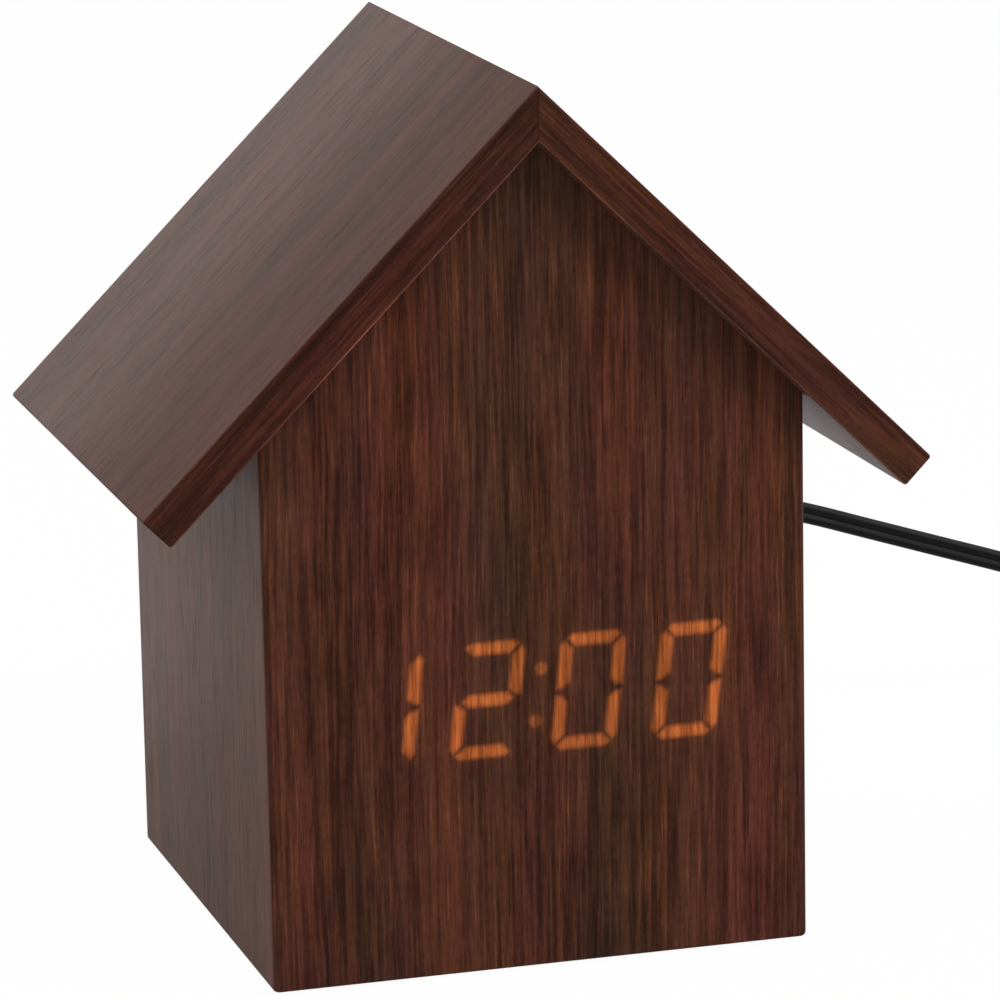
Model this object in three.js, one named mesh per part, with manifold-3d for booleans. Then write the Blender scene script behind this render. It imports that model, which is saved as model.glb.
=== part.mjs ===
// A wooden digital alarm clock in the shape of a small house, in millimetres, +Z up.
// Veneered boards make the box and the roof. An LED display shines through the front
// veneer, the controls sit on a plate in the back panel, and a flat twin lead runs to a
// plug-in adapter. The origin is under the middle of the house, on the surface it stands on.
// X is to the right seen from the front, and Y points to the back.
import * as THREE from "three";
import { mergeVertices } from "three/addons/utils/BufferGeometryUtils.js";
import Module from "manifold-3d";

// House: overall sizes. Its width follows from the display that it holds.
const body_depth = 97;
const wall_height = 95.8;
const roof_pitch = 44.6;
const roof_thickness = 6.7;
const roof_slope_length = 96.3;
const roof_overhang = 5;
const foot_height = 0.8;

// House: boards
const veneer_thickness = 0.6;
const front_board_thickness = 5;
const front_board_rail = 3.4;
const side_wall_thickness = 5;
const base_board_thickness = 5;
const back_panel_thickness = 4;
const back_panel_recess = 1.5;
const corner_radius = 1.2;
const eave_radius = 1;
const ridge_block_width = 18;
const batten_width = 10;
const batten_top_gap = 5.4;

// Clearances
const seat_gap = 0.3;
const well_clearance = 0.15;
const screw_clearance = 0.2;
const cut_overrun = 1;

// Feet
const foot_radius = 6;
const foot_recess = 1;
const foot_edge = 2.2;

// Display
const display_height = 48.6;
const digit_height = 20.25;
const digit_width = 11.5;
const digit_slant = 7.3;
const segment_width = 2.4;
const segment_gap = 0.43;
const segment_middle_gap = 0.9;
const colon_radius = 1.2;
const colon_spacing = 9;
const web_thickness = 0.8;
const web_margin = 0.6;
const cell_wall = 0.675;
const housing_end_wall = 4.3;
const housing_rim = 1.8;

// Main board behind the display
const main_board_side_reach = 2.5;
const main_board_rise_reach = 5.5;
const board_thickness = 1.6;
const main_screw_end = 5;
const main_screw_edge = 2.6;
const chip_length = 10;
const chip_width = 4;
const chip_thickness = 1.6;
const chip_side = 18;
const chip_leg_reach = 1;
const chip_leg_width = 0.5;
const chip_leg_pitch = 1.27;
const chip_leg_thickness = 0.6;
const crystal_radius = 1.5;
const crystal_length = 7;
const crystal_side = 22;
const crystal_drop = 9;
const capacitor_radius = 3.2;
const capacitor_length = 7.5;
const capacitor_side = 24;

// Controls on the back. The plate is as large as what it carries needs.
const control_height = 62;
const plate_thickness = 1.6;
const plate_corner = 2.5;
const plate_flange = 3;
const plate_side_flange = 6;
const plate_to_relief = 1.7;
const control_board_side_gap = 1;
const control_board_margin = 1.2;
const boss_radius = 2;
const boss_edge = 2.2;
const button_radius = 3;
const button_proud = 1.2;
const button_shoulder_share = 0.7;
const button_face_share = 0.9;
const button_flange = 0.9;
const button_flange_thickness = 1;
const button_stem_radius = 1.6;
const button_stem_length = 2.4;
const button_travel = 0.6;
const button_spacing = 1.2;
const switch_size = 6;
const switch_head_room = 1.3;
const slide_knob_width = 2.4;
const slide_knob_height = 2.2;
const slide_travel = 2.5;
const slide_body_width = 9;
const slide_body_height = 5.4;
const slide_floor = 0.9;
const buzzer_radius = 6;
const buzzer_spacing = 0.4;
const buzzer_top_gap = 0.6;
const buzzer_hole_radius = 1;
const buzzer_hole_depth = 1.5;
const sound_hole_radius = 0.8;
const sound_hole_spread = 3;

// Backup cell
const cell_radius = 10;
const cell_thickness = 3.2;
const cell_rim = 0.8;
const holder_wall = 1.3;
const holder_floor = 1;
const cap_margin = 1.7;
const cap_lug_reach = 1.5;
const cap_lug_width = 4.8;
const cap_lug_thickness = 1;
const cap_lug_clearance = 0.4;
const cap_to_button = 0.9;
const cap_turn = 45;
const coin_slot_length = 12;
const coin_slot_width = 1.6;
const coin_slot_depth = 0.9;

// Screws
const wood_screw = { head_radius: 2.9, head_height: 1.6, shank_radius: 1.4, shank_length: 12 };
const plate_screw = { head_radius: 2, head_height: 1.3, shank_radius: 1, shank_length: 4.6 };
const board_screw = { head_radius: 1.8, head_height: 1.2, shank_radius: 0.9, shank_length: 4.6 };
const back_screw_inset = 6;
const screw_crown_share = 0.7;
const recess_arm_share = 0.62;
const recess_width = 0.7;
const recess_depth = 0.8;

// Ribbon cable between the boards
const ribbon_width = 12;
const ribbon_thickness = 0.9;
const ribbon_end = 6;
const ribbon_sag = 9;
const ribbon_rise = 3;

// Flat twin lead
const cord_width = 4.4;
const cord_thickness = 2.2;
const relief_height = 54;
const relief_length = 20;
const relief_to_batten = 1.3;
const relief_neck_radius = 4.2;
const relief_lip = 1.2;
const relief_flange_reach = 1.6;
const relief_flange_thickness = 2;
const relief_root_radius = 4.4;
const relief_tip_radius = 3;
const relief_groove_depth = 0.5;
const relief_grooves = 5;
const relief_groove_share = 0.45;
const inner_lead_edge = 5;
const inner_lead_bend = 10;
const inner_lead_straight = 6;
const inner_lead_drop = 2;

// Coil of the spare lead, which lies beside the house
const coil_x = 150;
const coil_y = 20;
const coil_outer_radius = 31;
const coil_pitch = 2.8;
const coil_layer_rise = 5;
const coil_loops_in = 4;
const coil_loops_out = 3.5;
const coil_dip_share = 0.7;
const coil_steps = 24;
const tie_thickness = 0.5;
const tie_width = 4;
const tie_corner = 1.5;

// Plug-in adapter
const adapter_width = 36;
const adapter_depth = 28;
const adapter_length = 46;
const adapter_corner = 5;
const adapter_relief_length = 12;
const adapter_relief_radius = 4.4;
const tail_length = 24;
const nose_width = 33;
const nose_depth = 13;
const nose_length = 4;
const nose_round_share = 0.48;
const pin_radius = 2;
const pin_length = 19;
const pin_spacing = 19;
const pin_seat = 3;
const pin_tip = 1.2;

// How finely round shapes are drawn
const round_sides = 24;
const small_sides = 12;
const hole_sides = 8;
const arc_steps = 4;

// Widths that follow from the display: the digits in their housing, the front board's
// rails beside it, and the side walls
const slant = Math.tan(THREE.MathUtils.degToRad(digit_slant));
const digit_lean = (digit_height / 2 + web_margin) * slant;
const colon_width = 2 * (colon_radius + web_margin);
const digit_pitch = digit_width + 2 * (web_margin + cell_wall) + colon_width;
const digit_places = [-1.5, -0.5, 0.5, 1.5].map((share) => share * digit_pitch);
const housing_side = web_margin + digit_lean + housing_end_wall;
const housing_width = 3 * digit_pitch + digit_width + 2 * housing_side;
const housing_height = digit_height + 2 * (web_margin + housing_rim);
const main_board_width = housing_width + 2 * main_board_side_reach;
const main_board_height = housing_height + 2 * main_board_rise_reach;
const inner_half_width = housing_width / 2 + front_board_rail + 2 * seat_gap;
const half_width = inner_half_width + side_wall_thickness;

// Heights and depths of the house
const pitch = THREE.MathUtils.degToRad(roof_pitch);
const front_y = -body_depth / 2;
const back_y = body_depth / 2;
const base_z = foot_height;
const wall_top_z = base_z + wall_height;
const base_top_z = base_z + base_board_thickness;
const board_front_y = front_y + veneer_thickness + seat_gap;
const board_back_y = board_front_y + front_board_thickness;
const panel_back_y = back_y - back_panel_recess;
const panel_front_y = panel_back_y - back_panel_thickness;
const panel_half_width = inner_half_width - seat_gap;
const batten_low_z = base_top_z + seat_gap;
const batten_high_z = underRoof(panel_half_width) - batten_top_gap;
const main_board_y = board_back_y + seat_gap;
const main_board_rear_y = main_board_y + board_thickness;

// Depths of the controls, from the plate inwards. The cell's stack sets the board's place.
const plate_inner_y = panel_back_y + seat_gap;
const plate_outer_y = plate_inner_y + plate_thickness;
const flange_top_y = plate_inner_y - seat_gap;
const flange_bottom_y = flange_top_y - button_flange_thickness;
const lug_bottom_y = flange_top_y - cap_lug_thickness;
const holder_top_y = lug_bottom_y - seat_gap;
const holder_floor_y = holder_top_y - cell_thickness - seat_gap;
const control_seat_y = holder_floor_y - holder_floor;
const control_board_y = control_seat_y - seat_gap;
const control_board_inner_y = control_board_y - board_thickness;
const switch_top_y = flange_bottom_y - switch_head_room;

// The control board holds a row of three buttons and a slide over the cell and the buzzer
const flange_radius = button_radius + button_flange;
const button_pitch = 2 * flange_radius + button_spacing;
const holder_radius = cell_radius + seat_gap + holder_wall;
const cap_radius = cell_radius + cap_margin;
const lug_radius = cap_radius + cap_lug_reach;
const button_row_width = flange_radius + 3 * button_pitch + slide_body_width / 2;
const cell_row_width = 2 * holder_radius + buzzer_spacing + 2 * buzzer_radius;
const rows_height = 2 * lug_radius + cap_to_button + 2 * flange_radius;
const widest_row = Math.max(button_row_width, cell_row_width, rows_height);
const control_board_size = widest_row + 2 * control_board_margin;
const control_opening = control_board_size + 2 * control_board_side_gap;
const plate_width = control_opening + 2 * plate_side_flange;
const plate_height = control_opening + 2 * plate_flange;
const plate_screw_side = (control_opening + plate_side_flange) / 2;

// Places across and up the back, from the right batten leftwards
const relief_side = panel_half_width - batten_width - relief_to_batten - relief_neck_radius - relief_lip;
const relief_flange_radius = relief_neck_radius + relief_flange_reach;
const plate_right = relief_side - relief_flange_radius - plate_to_relief;
const control_side = plate_right - plate_width / 2;
const parts_left = control_side - control_board_size / 2 + control_board_margin;
const parts_right = control_side + control_board_size / 2 - control_board_margin;
const parts_low = control_height - control_board_size / 2 + control_board_margin;
const cell_x = parts_right - holder_radius;
const cell_z = parts_low + lug_radius;
const buzzer_x = parts_left + buzzer_radius;
const button_z = cell_z + lug_radius + cap_to_button + flange_radius;
const button_places = [0, 1, 2].map((i) => parts_left + flange_radius + i * button_pitch);
const slide_x = button_places[2] + button_pitch;
const relief_inner_y = panel_front_y - seat_gap - relief_flange_thickness;
const relief_flange_y = panel_back_y + seat_gap;
const relief_tip_y = relief_flange_y + relief_flange_thickness + relief_length;

// Radii and levels of the coil
const coil_base_z = tie_thickness + seat_gap;
const coil_low_z = coil_base_z + cord_width / 2;
const coil_inner_radius = coil_outer_radius - coil_pitch * coil_loops_in;
const coil_end_radius = coil_inner_radius + coil_pitch * coil_loops_out;

// The lead's route in the open: out of the back, round to the right, down to the
// surface past the house, and into the coil. Points are chosen by hand.
const lead_route = [
  [25.5, 69.6, 54],
  [25.5, 75, 53.95],
  [27, 82.2, 53.75],
  [31, 88, 53.3],
  [37, 91.8, 52.6],
  [44, 93, 51.7],
  [56, 93, 49.9],
  [70, 93, 47.2],
  [84, 93, 44],
  [97.5, 93, 40.4],
  [111, 93, 36],
  [125, 93, 31.4],
  [138.4, 93, 27],
  [150, 92.6, 23],
  [162, 89.6, 18.6],
  [172, 83, 14.4],
  [178.6, 73, 10.6],
  [181, 61, 7.4],
  [181, 48, 4.9],
  [181, 37, 3.5],
  [181, 30, 3.05],
  [181, 24.7, 3],
];

const wasm = await Module();
wasm.setup();

const clock = new THREE.Group();
clock.name = "house_alarm_clock";

function finish(name, color, roughness, metalness = 0) {
  return new THREE.MeshStandardMaterial({ name, color, roughness, metalness });
}

const materials = {
  walnut: finish("walnut_veneer", 0x563226, 0.45),
  walnut_roof: finish("walnut_roof", 0x5e352a, 0.45),
  board: finish("fibreboard", 0x8a6a48, 0.85),
  batten: finish("pine_batten", 0xb98d5a, 0.8),
  rubber: finish("foot_rubber", 0x1a1a1a, 0.9),
  white: finish("reflector_white", 0xe8e6df, 0.5),
  diffuser: finish("amber_diffuser", 0xff8a2a, 0.35),
  circuit: finish("circuit_board", 0x1f5b34, 0.6),
  black: finish("black_plastic", 0x141414, 0.5),
  button: finish("button_plastic", 0x1d1d1f, 0.4),
  steel: finish("zinc_steel", 0xb8b8bc, 0.35, 1),
  brass: finish("nickel_brass", 0xc9c2a4, 0.3, 1),
  cord: finish("cord_vinyl", 0x0d0d0d, 0.55),
};

// Adds a mesh with its node's name
function place(name, geometry, material) {
  const mesh = new THREE.Mesh(geometry, material);
  mesh.name = name;
  clock.add(mesh);
  return mesh;
}

// Shapes made from outlines and profiles
function shapeOf(points) {
  return new THREE.Shape(points.map(([a, b]) => new THREE.Vector2(a, b)));
}

// An outline whose corners are rounded, one radius for each point
function roundedShape(points, radii) {
  const shape = new THREE.Shape();
  const corners = points.map(([a, b]) => new THREE.Vector2(a, b));
  corners.forEach((corner, i) => {
    const before = corners[(i + corners.length - 1) % corners.length];
    const after = corners[(i + 1) % corners.length];
    const radius = Array.isArray(radii) ? radii[i] : radii;
    const from = before.clone().sub(corner).setLength(radius).add(corner);
    const to = after.clone().sub(corner).setLength(radius).add(corner);
    if (i === 0) shape.moveTo(from.x, from.y);
    else shape.lineTo(from.x, from.y);
    if (radius > 0) shape.quadraticCurveTo(corner.x, corner.y, to.x, to.y);
  });
  shape.closePath();
  return shape;
}

function rectangle(half_a, half_b) {
  return [
    [-half_a, -half_b],
    [half_a, -half_b],
    [half_a, half_b],
    [-half_a, half_b],
  ];
}

// Extrudes an outline of X and Z along Y
function alongY(shape, y0, y1) {
  const depth = y1 - y0;
  const options = { depth, bevelEnabled: false, curveSegments: arc_steps };
  return new THREE.ExtrudeGeometry(shape, options).rotateX(Math.PI / 2).translate(0, y1, 0);
}

// Extrudes an outline of X and Y along Z
function alongZ(shape, z0, z1) {
  const depth = z1 - z0;
  const options = { depth, bevelEnabled: false, curveSegments: arc_steps };
  return new THREE.ExtrudeGeometry(shape, options).translate(0, 0, z0);
}

// Extrudes an outline of Y and Z along X
function alongX(shape, x0, x1) {
  const depth = x1 - x0;
  const options = { depth, bevelEnabled: false, curveSegments: arc_steps };
  const turn = new THREE.Matrix4().makeBasis(
    new THREE.Vector3(0, 1, 0),
    new THREE.Vector3(0, 0, 1),
    new THREE.Vector3(1, 0, 0),
  );
  return new THREE.ExtrudeGeometry(shape, options).applyMatrix4(turn).translate(x0, 0, 0);
}

function block(x0, x1, y0, y1, z0, z1) {
  const box = new THREE.BoxGeometry(x1 - x0, y1 - y0, z1 - z0);
  return box.translate((x0 + x1) / 2, (y0 + y1) / 2, (z0 + z1) / 2);
}

// Turns a profile of [radius, y] pairs about an axis along Y through x, z
function turned(profile, x, z, sides = small_sides) {
  const points = profile.map(([r, y]) => new THREE.Vector2(r, y));
  return new THREE.LatheGeometry(points, sides).translate(x, 0, z);
}

function rodY(x, z, radius, y0, y1, sides = small_sides) {
  const profile = [
    [0, y0],
    [radius, y0],
    [radius, y1],
    [0, y1],
  ];
  return turned(profile, x, z, sides);
}

function rodZ(x, y, radius, z0, z1, sides = round_sides) {
  return rodY(0, 0, radius, z0, z1, sides).rotateX(Math.PI / 2).translate(x, y, 0);
}

// Cuts and joins
function toSolid(geometry) {
  const bare = geometry.clone();
  bare.deleteAttribute("normal");
  bare.deleteAttribute("uv");
  const merged = mergeVertices(bare);
  return new wasm.Manifold(
    new wasm.Mesh({
      numProp: 3,
      vertProperties: merged.attributes.position.array,
      triVerts: new Uint32Array(merged.index.array),
    }),
  );
}

function toGeometry(solid) {
  const mesh = solid.getMesh();
  const geometry = new THREE.BufferGeometry();
  geometry.setAttribute("position", new THREE.BufferAttribute(mesh.vertProperties, mesh.numProp));
  geometry.setIndex(new THREE.BufferAttribute(mesh.triVerts, 1));
  geometry.computeVertexNormals();
  return geometry;
}

function cut(base, ...tools) {
  return toGeometry(tools.reduce((solid, tool) => solid.subtract(toSolid(tool)), toSolid(base)));
}

function join(...pieces) {
  return toGeometry(pieces.map(toSolid).reduce((solid, piece) => solid.add(piece)));
}

function common(a, b) {
  return toGeometry(toSolid(a).intersect(toSolid(b)));
}

// Height of the roof's underside over the point x, less the glue gap
function underRoof(x) {
  const line = wall_top_z + (half_width - Math.abs(x)) * Math.tan(pitch);
  return line - seat_gap / Math.cos(pitch);
}

// The house's front outline, from its floor at low_z up to the roof
function houseOutline(half, low_z) {
  return [
    [-half, low_z],
    [half, low_z],
    [half, underRoof(half)],
    [0, underRoof(0)],
    [-half, underRoof(half)],
  ];
}

// The body's plan, with its four upright edges rounded
function roundedBody() {
  const plan = roundedShape(rectangle(half_width, body_depth / 2), corner_radius);
  return alongZ(plan, -cut_overrun, underRoof(0) + cut_overrun);
}

function makeShell() {
  const envelope = roundedBody();
  const veneer = alongY(
    shapeOf(houseOutline(half_width, base_z)),
    front_y,
    front_y + veneer_thickness,
  );
  place("front_veneer", common(veneer, envelope), materials.walnut);

  const board = alongY(
    shapeOf(houseOutline(panel_half_width, base_z)),
    board_front_y,
    board_back_y,
  );
  const window = block(
    -housing_width / 2 - seat_gap,
    housing_width / 2 + seat_gap,
    board_front_y - cut_overrun,
    board_back_y + cut_overrun,
    display_height - housing_height / 2 - seat_gap,
    display_height + housing_height / 2 + seat_gap,
  );
  const pilots = mainScrewPlaces().map(([x, z]) =>
    rodY(
      x,
      z,
      board_screw.shank_radius + screw_clearance,
      main_board_rear_y - board_screw.shank_length - seat_gap,
      board_back_y + cut_overrun,
    ),
  );
  place("front_board", cut(board, window, ...pilots), materials.board);

  for (const side of [-1, 1]) {
    const outline = [
      [side * inner_half_width, base_z],
      [side * half_width, base_z],
      [side * half_width, underRoof(half_width)],
      [side * inner_half_width, underRoof(inner_half_width)],
    ];
    const wall = alongY(shapeOf(outline), board_front_y, back_y);
    place(side < 0 ? "left_wall" : "right_wall", common(wall, envelope), materials.walnut);
  }

  const base = block(
    -panel_half_width,
    panel_half_width,
    board_back_y + seat_gap,
    back_y,
    base_z,
    base_top_z,
  );
  const recesses = footPlaces().map(([x, y]) =>
    rodZ(x, y, foot_radius + seat_gap, base_z - cut_overrun, base_z + foot_recess),
  );
  place("base_board", cut(base, ...recesses), materials.board);
}

function footPlaces() {
  const x = panel_half_width - foot_edge - foot_radius;
  const y = -(board_back_y + seat_gap) - foot_edge - foot_radius;
  return [
    [-x, -y],
    [x, -y],
    [-x, y],
    [x, y],
  ];
}

function makeFeet() {
  const names = ["foot_front_left", "foot_front_right", "foot_rear_left", "foot_rear_right"];
  footPlaces().forEach(([x, y], i) => {
    const top = base_z + foot_recess - seat_gap;
    place(names[i], rodZ(x, y, foot_radius, 0, top), materials.rubber);
  });
}

// The roof's two boards, mitred at the ridge and cut square to the slope at the eaves
function makeRoof() {
  const ridge_inner = wall_top_z + half_width * Math.tan(pitch);
  const ridge_outer = ridge_inner + roof_thickness / Math.cos(pitch);
  const mitre = seat_gap / 2;
  const mitre_drop = mitre * Math.tan(pitch);
  const eave_x = roof_slope_length * Math.cos(pitch);
  const eave_z = ridge_outer - roof_slope_length * Math.sin(pitch);
  const in_x = roof_thickness * Math.sin(pitch);
  const in_z = roof_thickness * Math.cos(pitch);
  for (const side of [-1, 1]) {
    const outline = [
      [side * mitre, ridge_inner - mitre_drop],
      [side * (eave_x - in_x), eave_z - in_z],
      [side * eave_x, eave_z],
      [side * mitre, ridge_outer - mitre_drop],
    ];
    const shape = roundedShape(outline, [0, eave_radius, eave_radius, 0]);
    const board = alongY(shape, front_y - roof_overhang, back_y + roof_overhang);
    place(side < 0 ? "roof_left" : "roof_right", board, materials.walnut_roof);
  }

  const half = ridge_block_width / 2;
  const wedge = [
    [-half, underRoof(half)],
    [half, underRoof(half)],
    [0, underRoof(0)],
  ];
  const block_y = [board_back_y + seat_gap, panel_front_y - seat_gap];
  place("ridge_block", alongY(shapeOf(wedge), ...block_y), materials.batten);
}

function backScrewPlaces() {
  const x = panel_half_width - batten_width / 2;
  const low = batten_low_z + back_screw_inset;
  const high = batten_high_z - back_screw_inset;
  return [
    [-x, low],
    [x, low],
    [-x, high],
    [x, high],
  ];
}

// A pan-head screw with a cross recess, its head's seat at y and its shank towards -Y,
// or towards +Y where direction is -1
function screw(size, x, y, z, direction = 1) {
  const { head_radius, head_height, shank_radius, shank_length } = size;
  const profile = [
    [0, -shank_length],
    [shank_radius, -shank_length + shank_radius],
    [shank_radius, 0],
    [head_radius, 0],
    [head_radius, head_height / 2],
    [head_radius * screw_crown_share, head_height],
    [0, head_height],
  ];
  const arm = head_radius * recess_arm_share;
  const half = recess_width / 2;
  const floor = head_height - recess_depth;
  const top = head_height + cut_overrun;
  const body = cut(
    turned(profile, 0, 0),
    block(-arm, arm, floor, top, -half, half),
    block(-half, half, floor, top, -arm, arm),
  );
  if (direction < 0) body.rotateX(Math.PI);
  return body.translate(x, y, z);
}

function makeBackPanel() {
  const outline = houseOutline(panel_half_width, base_top_z + seat_gap);
  const panel = alongY(shapeOf(outline), panel_front_y, panel_back_y);
  const y0 = panel_front_y - cut_overrun;
  const y1 = panel_back_y + cut_overrun;
  const half = control_opening / 2;
  const opening = block(
    control_side - half,
    control_side + half,
    y0,
    y1,
    control_height - half,
    control_height + half,
  );
  const lead_hole = rodY(
    relief_side,
    relief_height,
    relief_neck_radius + seat_gap,
    y0,
    y1,
    round_sides,
  );
  const wood_holes = backScrewPlaces().map(([x, z]) =>
    rodY(x, z, wood_screw.shank_radius + screw_clearance, y0, y1),
  );
  const plate_holes = plateScrewPlaces().map(([x, z]) =>
    rodY(x, z, plate_screw.shank_radius + screw_clearance, y0, y1),
  );
  const cuts = [opening, lead_hole, ...wood_holes, ...plate_holes];
  place("back_panel", cut(panel, ...cuts), materials.walnut);

  const batten_y = [panel_front_y - seat_gap - batten_width, panel_front_y - seat_gap];
  for (const side of [-1, 1]) {
    const outer = side * panel_half_width;
    const inner = outer - side * batten_width;
    const stick = block(
      Math.min(outer, inner),
      Math.max(outer, inner),
      ...batten_y,
      batten_low_z,
      batten_high_z,
    );
    const pilots = backScrewPlaces()
      .filter(([x]) => Math.sign(x) === side)
      .map(([x, z]) =>
        rodY(
          x,
          z,
          wood_screw.shank_radius + screw_clearance,
          panel_back_y - wood_screw.shank_length - seat_gap,
          panel_front_y + cut_overrun,
        ),
      );
    const name = side < 0 ? "rear_batten_left" : "rear_batten_right";
    place(name, cut(stick, ...pilots), materials.batten);
  }

  backScrewPlaces().forEach(([x, z], i) => {
    place(`back_screw_${i + 1}`, screw(wood_screw, x, panel_back_y + seat_gap, z), materials.steel);
  });
}

// Seven segments of a digit, as outlines about its middle before it leans over. They are
// drawn in by inset on every side.
function segmentOutlines(inset) {
  const w = digit_width / 2;
  const h = digit_height / 2;
  const t = segment_width;
  const mitre = (segment_gap / 2 + inset) * Math.SQRT2;
  const tip = (segment_gap + inset) * Math.SQRT2;
  const end = segment_middle_gap / 2;
  const bar = [
    [-w + inset + mitre, h - inset],
    [w - inset - mitre, h - inset],
    [w - t + inset - mitre, h - t + inset],
    [-w + t - inset + mitre, h - t + inset],
  ];
  const post = [
    [w - inset, h - inset - mitre],
    [w - inset, end + inset],
    [w - t / 2, end + inset],
    [w - t + inset, end + t / 2],
    [w - t + inset, h - t + inset - mitre],
  ];
  const reach = w - t / 2 + end - tip;
  const half = t / 2 - inset;
  const middle = [
    [-reach, 0],
    [-reach + half, half],
    [reach - half, half],
    [reach, 0],
    [reach - half, -half],
    [-reach + half, -half],
  ];
  const flip = (points, a, b) => points.map(([u, v]) => [u * a, v * b]);
  return [
    bar,
    flip(bar, 1, -1),
    middle,
    post,
    flip(post, -1, 1),
    flip(post, 1, -1),
    flip(post, -1, -1),
  ];
}

// Places an outline of a digit's cell, leaning it over
function leaning(points, cell_x0) {
  return points.map(([u, v]) => [cell_x0 + u + v * slant, display_height + v]);
}

function colonDots(radius, y0, y1) {
  const rise = colon_spacing / 2;
  return [-rise, rise].map((v) => rodY(v * slant, display_height + v, radius, y0, y1));
}

function makeDisplay() {
  const pocket_y = board_back_y - web_thickness - seat_gap;
  const cell = rectangle(digit_width / 2 + web_margin, digit_height / 2 + web_margin);
  const colon_cell = rectangle(colon_width / 2, colon_spacing / 2 + colon_radius + web_margin);
  const housing = block(
    -housing_width / 2,
    housing_width / 2,
    board_front_y,
    board_back_y,
    display_height - housing_height / 2,
    display_height + housing_height / 2,
  );
  const wells = [];
  for (const x of digit_places) {
    const outlines = segmentOutlines(0);
    for (const outline of outlines) {
      const well = shapeOf(leaning(outline, x));
      wells.push(alongY(well, board_front_y - cut_overrun, board_back_y + cut_overrun));
    }
    wells.push(alongY(shapeOf(leaning(cell, x)), pocket_y, board_back_y + cut_overrun));
  }
  wells.push(...colonDots(colon_radius, board_front_y - cut_overrun, board_back_y + cut_overrun));
  wells.push(alongY(shapeOf(leaning(colon_cell, 0)), pocket_y, board_back_y + cut_overrun));
  place("display_housing", cut(housing, ...wells), materials.white);

  const web_y = board_back_y - web_thickness;
  const shrink = (points) =>
    points.map(([u, v]) => [
      u - Math.sign(u) * well_clearance,
      v - Math.sign(v) * well_clearance,
    ]);
  digit_places.forEach((x, i) => {
    const web = alongY(shapeOf(leaning(shrink(cell), x)), web_y, board_back_y);
    const bars = segmentOutlines(well_clearance).map((outline) =>
      alongY(shapeOf(leaning(outline, x)), board_front_y, web_y + web_thickness / 2),
    );
    place(`digit_diffuser_${i + 1}`, join(web, ...bars), materials.diffuser);
  });
  const colon_web = alongY(shapeOf(leaning(shrink(colon_cell), 0)), web_y, board_back_y);
  const dots = colonDots(
    colon_radius - well_clearance,
    board_front_y,
    web_y + web_thickness / 2,
  );
  place("colon_diffuser", join(colon_web, ...dots), materials.diffuser);
}

function mainScrewPlaces() {
  const side = main_board_width / 2 - main_screw_end;
  const rise = main_board_height / 2 - main_screw_edge;
  return [
    [-side, display_height + rise],
    [side, display_height - rise],
  ];
}

function makeMainBoard() {
  const board = block(
    -main_board_width / 2,
    main_board_width / 2,
    main_board_y,
    main_board_rear_y,
    display_height - main_board_height / 2,
    display_height + main_board_height / 2,
  );
  const holes = mainScrewPlaces().map(([x, z]) =>
    rodY(
      x,
      z,
      board_screw.shank_radius + screw_clearance,
      main_board_y - cut_overrun,
      main_board_rear_y + cut_overrun,
    ),
  );
  place("main_board", cut(board, ...holes), materials.circuit);
  mainScrewPlaces().forEach(([x, z], i) => {
    const name = `main_board_screw_${i + 1}`;
    place(name, screw(board_screw, x, main_board_rear_y + seat_gap, z), materials.steel);
  });

  const seat_y = main_board_rear_y + seat_gap;
  const chip = block(
    chip_side - chip_length / 2,
    chip_side + chip_length / 2,
    seat_y,
    seat_y + chip_thickness,
    display_height - chip_width / 2,
    display_height + chip_width / 2,
  );
  const legs = [];
  const legs_per_side = Math.floor(chip_length / chip_leg_pitch);
  for (let i = 0; i < legs_per_side; i++) {
    const x = chip_side + (i - (legs_per_side - 1) / 2) * chip_leg_pitch;
    legs.push(
      block(
        x - chip_leg_width / 2,
        x + chip_leg_width / 2,
        seat_y,
        seat_y + chip_leg_thickness,
        display_height - chip_width / 2 - chip_leg_reach,
        display_height + chip_width / 2 + chip_leg_reach,
      ),
    );
  }
  place("driver_chip", join(chip, ...legs), materials.black);

  const can = rodZ(0, 0, crystal_radius, -crystal_length / 2, crystal_length / 2, small_sides);
  can.rotateY(Math.PI / 2);
  can.translate(crystal_side, seat_y + crystal_radius, display_height - crystal_drop);
  place("clock_crystal", can, materials.steel);

  const capacitor = rodY(
    -capacitor_side,
    display_height,
    capacitor_radius,
    seat_y,
    seat_y + capacitor_length,
    round_sides,
  );
  place("storage_capacitor", capacitor, materials.black);
}

// The ribbon cable, soldered into both boards, with slack between them
function makeRibbon() {
  const y0 = main_board_rear_y + seat_gap;
  const y1 = control_board_inner_y - seat_gap;
  const z1 = control_height - ribbon_rise;
  const middle_y = (y0 + y1) / 2;
  const route = new THREE.CatmullRomCurve3([
    new THREE.Vector3(0, y0, display_height),
    new THREE.Vector3(0, y0 + ribbon_end, display_height),
    new THREE.Vector3(0, middle_y, (display_height + z1) / 2 - ribbon_sag),
    new THREE.Vector3(0, y1 - ribbon_end, z1),
    new THREE.Vector3(0, y1, z1),
  ]);
  const steps = round_sides;
  const upper = [];
  const lower = [];
  for (let i = 0; i <= steps; i++) {
    const point = route.getPointAt(i / steps);
    const tangent = route.getTangentAt(i / steps);
    if (i === 0 || i === steps) tangent.set(0, 1, 0);
    const dy = (-tangent.z * ribbon_thickness) / 2;
    const dz = (tangent.y * ribbon_thickness) / 2;
    upper.push([point.y + dy, point.z + dz]);
    lower.unshift([point.y - dy, point.z - dz]);
  }
  const band = alongX(
    shapeOf([...upper, ...lower]),
    control_side - ribbon_width / 2,
    control_side + ribbon_width / 2,
  );
  place("ribbon_cable", band, materials.white);
}

function plateScrewPlaces() {
  return [-plate_screw_side, plate_screw_side].map((x) => [control_side + x, control_height]);
}

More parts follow.
